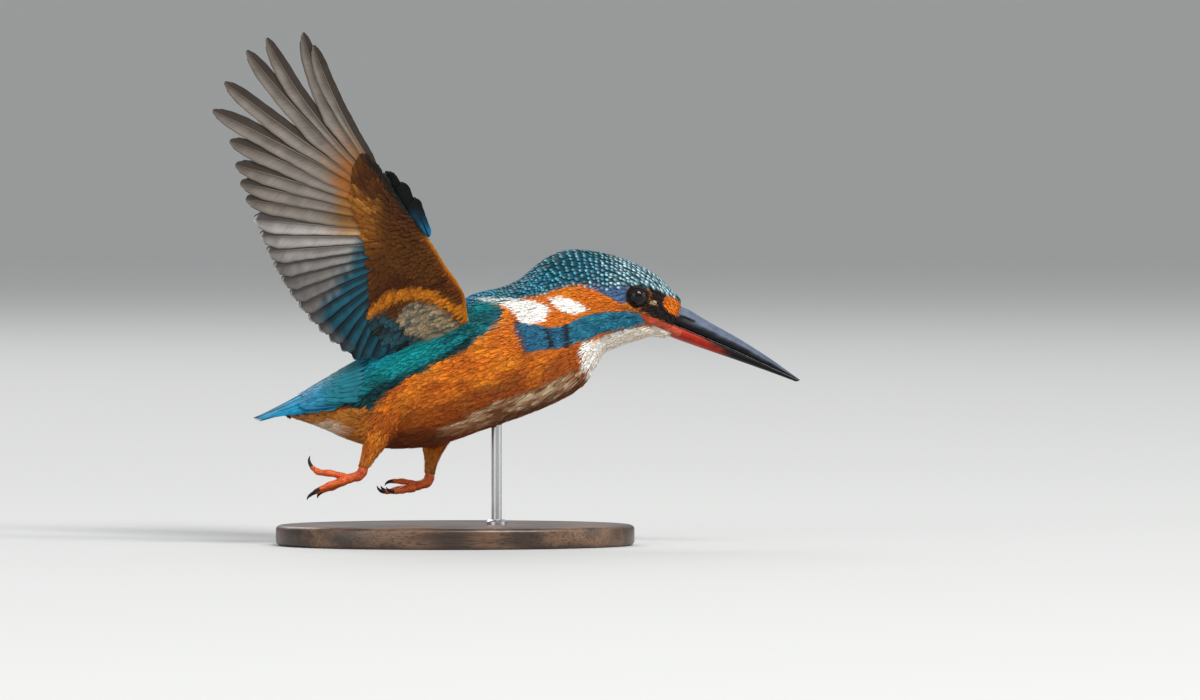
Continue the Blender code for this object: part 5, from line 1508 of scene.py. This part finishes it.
def in_face(points, normals):
    x, z = points[:, 0], points[:, 2]
    band = z > 58.0 - 0.9 * np.maximum(0, 24 - x) * (x < 24)
    plain = ~in_crown(points, normals) & ~in_throat(points, normals) & ~in_back(points, normals)
    return plain & (x > 15.5) & band & (z + 0.8 * x > 70)


def crown_spots(roots, colours, shares, sides):
    """Dark feathers of the crown with a pale blue bar before the tip, paler and denser towards the bill."""
    x = roots[:, 0]
    dice = np.random.default_rng(62)
    pale = mix(CROWN_PALE, CROWN_WHITE, step(x - 44 + 6 * dice.uniform(-1, 1, len(x)), 12))
    pale = varied(pale, 61, 0.3)
    middle = 0.8 + 0.05 * dice.uniform(-1, 1, len(x))[:, None]
    fore = step(x - 46, 10)[:, None]
    bar = np.exp(-(((shares - middle) / (0.1 + 0.13 * fore)) ** 2))[..., None]
    bar = bar * np.exp(-((sides / (0.64 - 0.2 * fore)) ** 4))[:, None]
    strength = dice.uniform(0.3, 1.0, len(x)) * (0.8 + 0.45 * step(x - 42, 12))
    dark = colours[:, None, None] * (0.32 + 0.25 * shares[:, None, None])
    dark = dark + np.array(CROWN_BLOOM) * step(x - 52, 10)[:, None, None, None]
    share = strength[:, None, None] * bar
    return mix(np.broadcast_to(dark, share.shape + (3,)), pale[:, None, None], share)


head_span = (0.4, 1)
crown_feathers = [
    coat(1.2, grows(2.4, 0.7, 34, 10), 0.68, in_crown, "spotted", 3, head_span, spots=crown_spots),
    coat(1.0, 1.8, 0.16, in_crown, "wisp", 4, head_span, 1.0)]
piece("coat_crown", crown_feathers, coat_finish("crown feathers", 0.5, 0.0), "crown_feather")

# The coat of the face and the throat: the shortest feathers of all, and round the bill's root fine ones that
# start on the sheaths themselves and lie back over the skin's edge.
BILL_ROOT, BILL_WAY = np.array((56.0, 0.0, 67.3)), unit(np.array((18.0, 0.0, -7.3)))
BILL_GIRTH = 5.0  # radius of the ring of feathers round the bill's root
OUTSIDE = 20.0  # a distance from the bill's axis that lies outside the head
SHEATH_SINK = 0.12  # how deep the roots of the feathers round the bill start
Y_WAY = np.array((0.0, 1.0, 0.0))


def frontal_tufts(form, offsets, spacing, length, half, tall, seed):
    """Feathers round the bill's root. Each offset gives a row, by its distance from the skin's edge."""
    dice = np.random.default_rng(seed)
    bills = shell_of(upper_bill, lower_bill)
    over = np.cross(BILL_WAY, Y_WAY)

    def away(turn):
        return Y_WAY * math.cos(turn) + over * math.sin(turn)

    def reach(shell, station, out):
        hit = shell.ray_cast(Vector(BILL_ROOT + BILL_WAY * station + out * OUTSIDE), Vector(-out), OUTSIDE)
        return OUTSIDE - hit[3] if hit[0] is not None else 0.0

    found = []
    for turn in np.arange(0.0, 2 * math.pi, spacing / BILL_GIRTH):
        out = away(turn)
        ends = [s for s in np.arange(0.0, 14.0, 0.15) if reach(skin_ground, s, out) > reach(bills, s, out)]
        for offset in offsets if ends else ():
            root = ends[-1] + offset + dice.uniform(-0.25, 0.25)
            lean = dice.normal(0, 0.03) + dice.uniform(-0.5, 0.5) * spacing / BILL_GIRTH
            long = length * dice.uniform(0.8, 1.15)
            line, ups = [], []
            for share in FORMS[form][0]:
                out = away(turn + lean * (0.6 + share))
                station = root - long * share
                ground = max(reach(skin_ground, station, out), reach(bills, station, out)) - SHEATH_SINK
                rise = ground + (tall + SHEATH_SINK) * share**0.7
                line.append(BILL_ROOT + BILL_WAY * station + out * rise)
                ups.append(out)
            found.append((line, ups, (0.9 + 0.01 * offset, turn / (2 * math.pi))))
    paths, overs, places = (np.array(part) for part in zip(*found))
    clear = ~(in_outline(paths[:, 0], GAPE, -0.1) | in_outline(paths[:, -1], GAPE, -0.1))
    paths, overs, places = paths[clear], overs[clear], places[clear]
    colours = tuft_colours(body_colours, paths, overs, seed)
    return tufts(paths, overs, np.full(len(paths), half), colours, places, form)


face_span = (0.45, 1)
face_feathers = [
    coat(0.68, grows(1.4, 1.3, 48, 14), grows(0.17, 0.06, 40, 10), in_face, "wisp", 5, face_span),
    coat(1.02, grows(1.7, 1.7, 46, 12), grows(0.42, 0.1, 40, 10), in_face, "hackle", 6, face_span, 0.7),
    frontal_tufts("plume", (-0.5, 0.1, 0.6), 0.75, 1.9, 0.45, 0.34, 91),
    frontal_tufts("wisp", (-0.3, 0.2, 0.8, 1.2), 0.42, 1.6, 0.15, 0.42, 92)]
face_coat = coat_finish("face feathers", 0.62, 0.04)
piece("coat_face", face_feathers, face_coat, "breast_feather")
throat_span = (0.55, 1)
throat_feathers = [
    coat(0.8, 2.6, 0.3, in_throat, "wisp", 7, throat_span),
    coat(1.5, 3.0, 0.75, in_throat, "plume", 8, throat_span, 0.65)]
piece("coat_throat", throat_feathers, face_coat, "breast_feather")

# The coat of breast, belly and back: longer feathers with pointed tips, under wisps that hang loose on the
# breast and lie close on the back.
soft_coat = coat_finish("breast feathers", 0.66, 0.05)


def in_breast(points, normals):
    return ~np.any([part(points, normals) for part in (in_crown, in_throat, in_face, in_back)], axis=0)


breast_feathers = coat(1.5, 6.6, 0.95, in_breast, "hackle", 9, height=0.7)
piece("coat_breast_feathers", [breast_feathers], soft_coat, "breast_feather")
for side, sign in SIDES:
    wisps = coat(0.78, 5.0, 0.2, lambda p, n: in_breast(p, n) & (p[:, 1] * sign > 0), "wisp", 10)
    piece("coat_breast_wisps_" + side, [wisps], soft_coat, "breast_feather")
back_feathers = [
    coat(1.35, 5.4, 0.9, in_back, "hackle", 12, height=0.75),
    coat(0.85, 4.2, 0.2, in_back, "wisp", 13)]
piece("coat_back", back_feathers, coat_finish("back feathers", 0.45, 0.0), "crown_feather")

# The coverts of the tail: long soft feathers of the rump that hide the roots of the tail above, and long buff
# ones below it. Those above run from the rump's skin out over the tail's arch.
TAIL_COVERT_ROWS = [  # x and length of each row
    (-25.5, 8.5), (-27.5, 9), (-29.5, 9.5), (-31.5, 10), (-33.5, 10), (-35.5, 9.5)]
TAIL_COVERT_REACH, TAIL_COVERT_SPACING, TAIL_COVERT_HALF = 13.2, 1.15, 0.95
COVERT_BLUE, COVERT_AZURE, RUMP_TEAL = (0.008, 0.1, 0.19), (0.022, 0.21, 0.34), (0.008, 0.13, 0.15)


def tail_coverts():
    """Rows of broad feathers over the tail's arch, lifted clear of the rump."""
    dice = np.random.default_rng(71)
    shares = FORMS["hackle"][0]
    groups = []
    for row, (x, length) in enumerate(TAIL_COVERT_ROWS):
        across = np.arange(-TAIL_COVERT_REACH, TAIL_COVERT_REACH + 0.01, TAIL_COVERT_SPACING)
        across = across + 0.57 * (row % 2)
        across = across[np.abs(across) < TAIL_COVERT_REACH + 0.2]
        across = across + dice.uniform(-0.2, 0.2, len(across))
        spots = x - (length * dice.uniform(0.88, 1.08, len(across)))[:, None] * shares
        lifts = 0.45 + 0.07 * (len(TAIL_COVERT_ROWS) - row) + 0.25 * shares[None]
        paths = on_tail(spots, across[:, None] * (1 - 0.06 * shares), lifts)
        for k, j in itertools.product(range(len(across)), range(len(shares))):
            point, clear = Vector(paths[k, j]), 0.25 + 0.4 * shares[j]
            near, normal, _, _ = grounds["body"].find_nearest(point)
            if (point - near).dot(normal) < clear:
                paths[k, j] = near + normal * clear
        overs = unit(on_tail(spots, across[:, None], lifts + 1) - on_tail(spots, across[:, None], lifts))
        colours = mix(COVERT_BLUE, COVERT_AZURE, dice.uniform(0, 1, len(across)))
        colours = mix(colours, RUMP_TEAL, 0.8 * step(x + 30.0, 3.0))
        places = together(0.1 + 0.06 * row, 0.5 + across / 40)
        halves = np.full(len(across), TAIL_COVERT_HALF)
        groups.append(tufts(paths, overs, halves, colours, places, "hackle", 0.1, 0.1))
    return groups


piece("coat_tail_coverts", tail_coverts(), coat_finish("tail coverts", 0.45, 0.0), "tail_feather")
undertail = coat(1.9, 7.0, 1.3, lambda p, n: (p[:, 0] < -27) & (n[:, 2] < 0.2) & in_breast(p, n), "plume", 14)
piece("coat_undertail", [undertail], soft_coat, "breast_feather")

# The thighs: short silky feathers that lie down the leg to the shank. A few larger ones hide the hollow where
# each thigh meets the belly, and are rooted on the skin there.
THIGHS = {  # the leg's y, (x, z) down its middle, and the way the feathers lie
    "right": (-9.2, [(-17.5, 39), (-20.2, 35.2), (-22.5, 31), (-24.9, 26.3), (-26.8, 22.4)],
              [(-20, 35, -0.45, -0.9), (-26, 24, -0.35, -0.93)]),
    "left": (8.6, [(-4, 35), (-5.4, 30.3), (-6.3, 26.2), (-7, 22.9), (-7.5, 19.8)],
             [(-5, 30, -0.35, -0.95), (-7, 21, -0.2, -0.98)]),
}
THIGH_ORANGE, THIGH_GOLD = (0.52, 0.12, 0.008), (0.7, 0.22, 0.015)
SEAM_SPACING, SEAM_TOP = 0.9, 40.0
SEAM_SIZES = (3.8, 0.62, 0.42)  # length, half width and height


def thigh_colours(points, normals):
    """Orange, and paler at the shank."""
    shade = 0.5 + 0.7 * noise(points, (2.0, 2.0, 4.0), 81)
    return mix(mix(THIGH_ORANGE, THIGH_GOLD, shade), BUFF, 0.15 * step(24 - points[:, 2], 4))


def seam_colours(points, normals):
    return mix(body_colours(points, normals), thigh_colours(points, normals), 0.4)


def seam_tufts(column, lies, seed):
    """Feathers over the hollow between a thigh and the belly. column is the thigh's in hide_shares."""
    seam = (hide_shares[:, 0] > 0.04) & (hide_shares[:, column] > 0.03) & (skin_points[:, 2] < SEAM_TOP)
    dice = np.random.default_rng(seed)
    chosen = []
    for index in dice.permutation(np.flatnonzero(seam)):
        gaps = np.linalg.norm(skin_points[chosen] - skin_points[index], axis=1)
        if not chosen or gaps.min() > SEAM_SPACING:
            chosen.append(index)
    roots, normals = skin_points[chosen], hide_normals[chosen]
    aheads = unit(lie_of(roots, normals, LIE) + lie_of(roots, normals, lies))
    long, wide, tall = (size * dice.uniform(0.85, 1.1, len(roots)) for size in SEAM_SIZES)
    paths, overs = combed(roots, normals, aheads, long, tall, "hackle", skin_ground)
    around = np.arctan2(roots[:, 2] - 36, roots[:, 1]) / (2 * math.pi)
    places = together((roots[:, 0] + 60) / UNWRAP_LENGTH, around % 1)
    return tufts(paths, overs, wide, tuft_colours(seam_colours, paths, overs, seed), places, "hackle")


for column, (side, (leg_y, down, lies)) in enumerate(THIGHS.items(), 1):
    leg = {"ground": "thigh_" + side, "line": [(x, leg_y, z) for x, z in down], "lies": lies,
           "colours_of": thigh_colours}
    thigh_feathers = [
        coat(0.72, 2.6, 0.22, lambda p, n: p[:, 2] > 19.8, "wisp", 15, height=1.1, **leg),
        coat(1.15, 3.4, 0.55, lambda p, n: p[:, 2] > 20.5, "hackle", 16, **leg),
        seam_tufts(column, lies, 17)]
    piece("coat_thigh_" + side, thigh_feathers, soft_coat, "breast_feather")

# The coverts of the wings: rows of small feathers over the arm and the hand, below and above. They grow
# larger towards the flight feathers, and the last row lies over the roots of those.
UNDER_LIE = [
    (-22, 104, -0.5, 0.87), (-18, 97, -0.85, 0.5), (-10, 91, -1, 0.1), (-12, 84, -0.95, -0.3),
    (-15, 78, -0.6, -0.8), (-8, 62, -0.75, -0.65), (0, 72, -0.9, -0.4), (4, 62, -0.85, -0.5),
]
ARM_TRAIL = [(-15.4, 57.6), (-25.2, 64.8), (-25.8, 74), (-25.6, 84.5), (-29.8, 94.4), (-30.6, 102.5),
             (-28, 109.4)]
COVERTS = [  # spacing, share of the chord from and to, length there, half width there, height, lift and form
    (1.15, (0.0, 0.6), (2.4, 4.2), (0.5, 0.85), 0.36, 0.0, "plume"),
    (1.4, (0.45, 0.74), (4.2, 5.2), (0.8, 1.0), 0.34, 0.14, "plume"),
    (1.6, (0.66, 0.84), (5.0, 6.5), (0.95, 1.15), 0.3, 0.0, "plume"),
    (0.85, (0.0, 0.9), (2.4, 4.4), (0.13, 0.2), 0.42, 0.0, "wisp"),
]
ARM_REACH = 56.0  # the arm's length along its leading edge
OFF_ARM = 8.0  # a distance from the wing's mid surface that lies outside the arm
COVERT_FOOT, COVERT_OVER_VANES = -0.1, 0.46
BAR_BLUE = (0.1, 0.42, 0.55)


def chord_room(flat, chords):
    """How far behind each place the arm's trailing edge lies, by the rib nearest to it."""
    share = np.linspace(0, 1, 80)
    lead, trail = curve(ARM_LEAD, share), curve(ARM_TRAIL, share)
    away = np.linalg.norm(flat[:, None] - (lead + 0.5 * (trail - lead))[None], axis=-1)
    return (1.02 - chords) * np.linalg.norm((trail - lead)[away.argmin(axis=1)], axis=1)


def height_over_arm(x, z, face):
    """How high the arm's skin stands over the wing's mid surface on one face, or -1 beside the arm."""
    outer, middle = on_wing(x, z, face * OFF_ARM), on_wing(x, z, 0.0)
    heights = np.empty(x.shape)
    for spot in np.ndindex(x.shape):
        start = Vector(outer[spot])
        hit = grounds["arm_right"].ray_cast(start, Vector(middle[spot]) - start, OFF_ARM)
        heights[spot] = OFF_ARM - hit[3] if hit[0] is not None else -1.0
    return heights


def covert_roots(spacing, span, dice):
    """Roots in staggered rows over the arm, in the wing's plane, and the share of the chord at each."""
    found = []
    for row, along in enumerate(np.arange(0.3, ARM_REACH, spacing * ROW_PITCH)):
        lead, trail = curve(ARM_LEAD, along / ARM_REACH), curve(ARM_TRAIL, along / ARM_REACH)
        chord = np.linalg.norm(trail - lead)
        for back in np.arange(span[0] * chord + 0.5 * spacing * (row % 2), span[1] * chord, spacing):
            share = (back + dice.uniform(-0.2, 0.2) * spacing) / chord
            root = lead + (trail - lead) * max(share, 0.01) + dice.uniform(-0.15, 0.15, 2) * spacing
            found.append((root, share))
    return [np.array(part) for part in zip(*found)]


def covert_group(face, number, colours_of, barred, spacing, span, lengths, halves, height, lift, form):
    """One kind of covert on a face of the right wing: 1 is its underside, and -1 its upper side."""
    shares, _, section = FORMS[form]
    dice = np.random.default_rng(300 + number + 10 * face)
    flat, chords = covert_roots(spacing, span, dice)
    count = len(flat)
    way = way_at(flat, UNDER_LIE, 8.0)
    turn = dice.normal(0, 0.1, count)
    way = unit(way + turn[:, None] * together(-way[:, 1], way[:, 0]))
    grow = np.clip((chords - span[0]) / (span[1] - span[0]), 0, 1)
    long, wide = (between(*size, grow) * dice.uniform(0.88, 1.1, count) for size in (lengths, halves))
    room = chord_room(flat, chords) + dice.uniform(-0.2, 1.3, count)
    long = np.minimum(long, np.maximum(room, 1.2))
    x, z = np.moveaxis(flat[:, None] + way[:, None] * (long[:, None] * shares)[..., None], -1, 0)
    off = height_over_arm(x, z, face)
    grown = off[:, 0] > -0.5
    lowest = COVERT_OVER_VANES + lift + 0.04 * dice.uniform(0, 1, count)
    tall = height * dice.uniform(0.8, 1.0, count) - COVERT_FOOT
    off = np.maximum(off + COVERT_FOOT + tall[:, None] * shares**0.75,
                     lowest[:, None] * np.minimum(1, 4 * shares) - 0.3 * (shares < 0.1))
    paths = on_wing(x, z, face * off)
    overs = unit(on_wing(x, z, face * (off + 1)) - paths)
    colours = varied(colours_of(x[:, 2], z[:, 2]), 400 + number, 0.16)
    if barred and form == "plume":
        bar = np.exp(-(((shares - 0.85) / 0.12) ** 2))[None, :, None] * (1 - 0.6 * section[:, 0] ** 2)
        share = bar * (barred * dice.uniform(0.5, 1, count))[:, None, None]
        base = colours[:, None, None] * (0.6 + 0.4 * shares[None, :, None, None])
        colours = mix(np.broadcast_to(base, share.shape + (3,)), BAR_BLUE, share)
    places = together(0.1 + chords * 0.35, flat[:, 1] / 130)
    paths, overs, wide, colours, places = (part[grown] for part in (paths, overs, wide, colours, places))
    return tufts(paths, overs, wide, colours, places, form, 0.08)


for face, place, colours_of, barred, material, slot in (
        (1, "under", underwing_colours, 0.0, coat_finish("underwing coverts", 0.62, 0.03), "under_covert"),
        (-1, "upper", upperwing_colours, 0.9, coat_finish("upperwing coverts", 0.42, 0.0), "crown_feather")):
    groups = [covert_group(face, number, colours_of, barred, *kind) for number, kind in enumerate(COVERTS)]
    for side, forms in both_sides(groups):
        piece("wing_%s_coverts_%s" % (side, place), forms, material, slot)
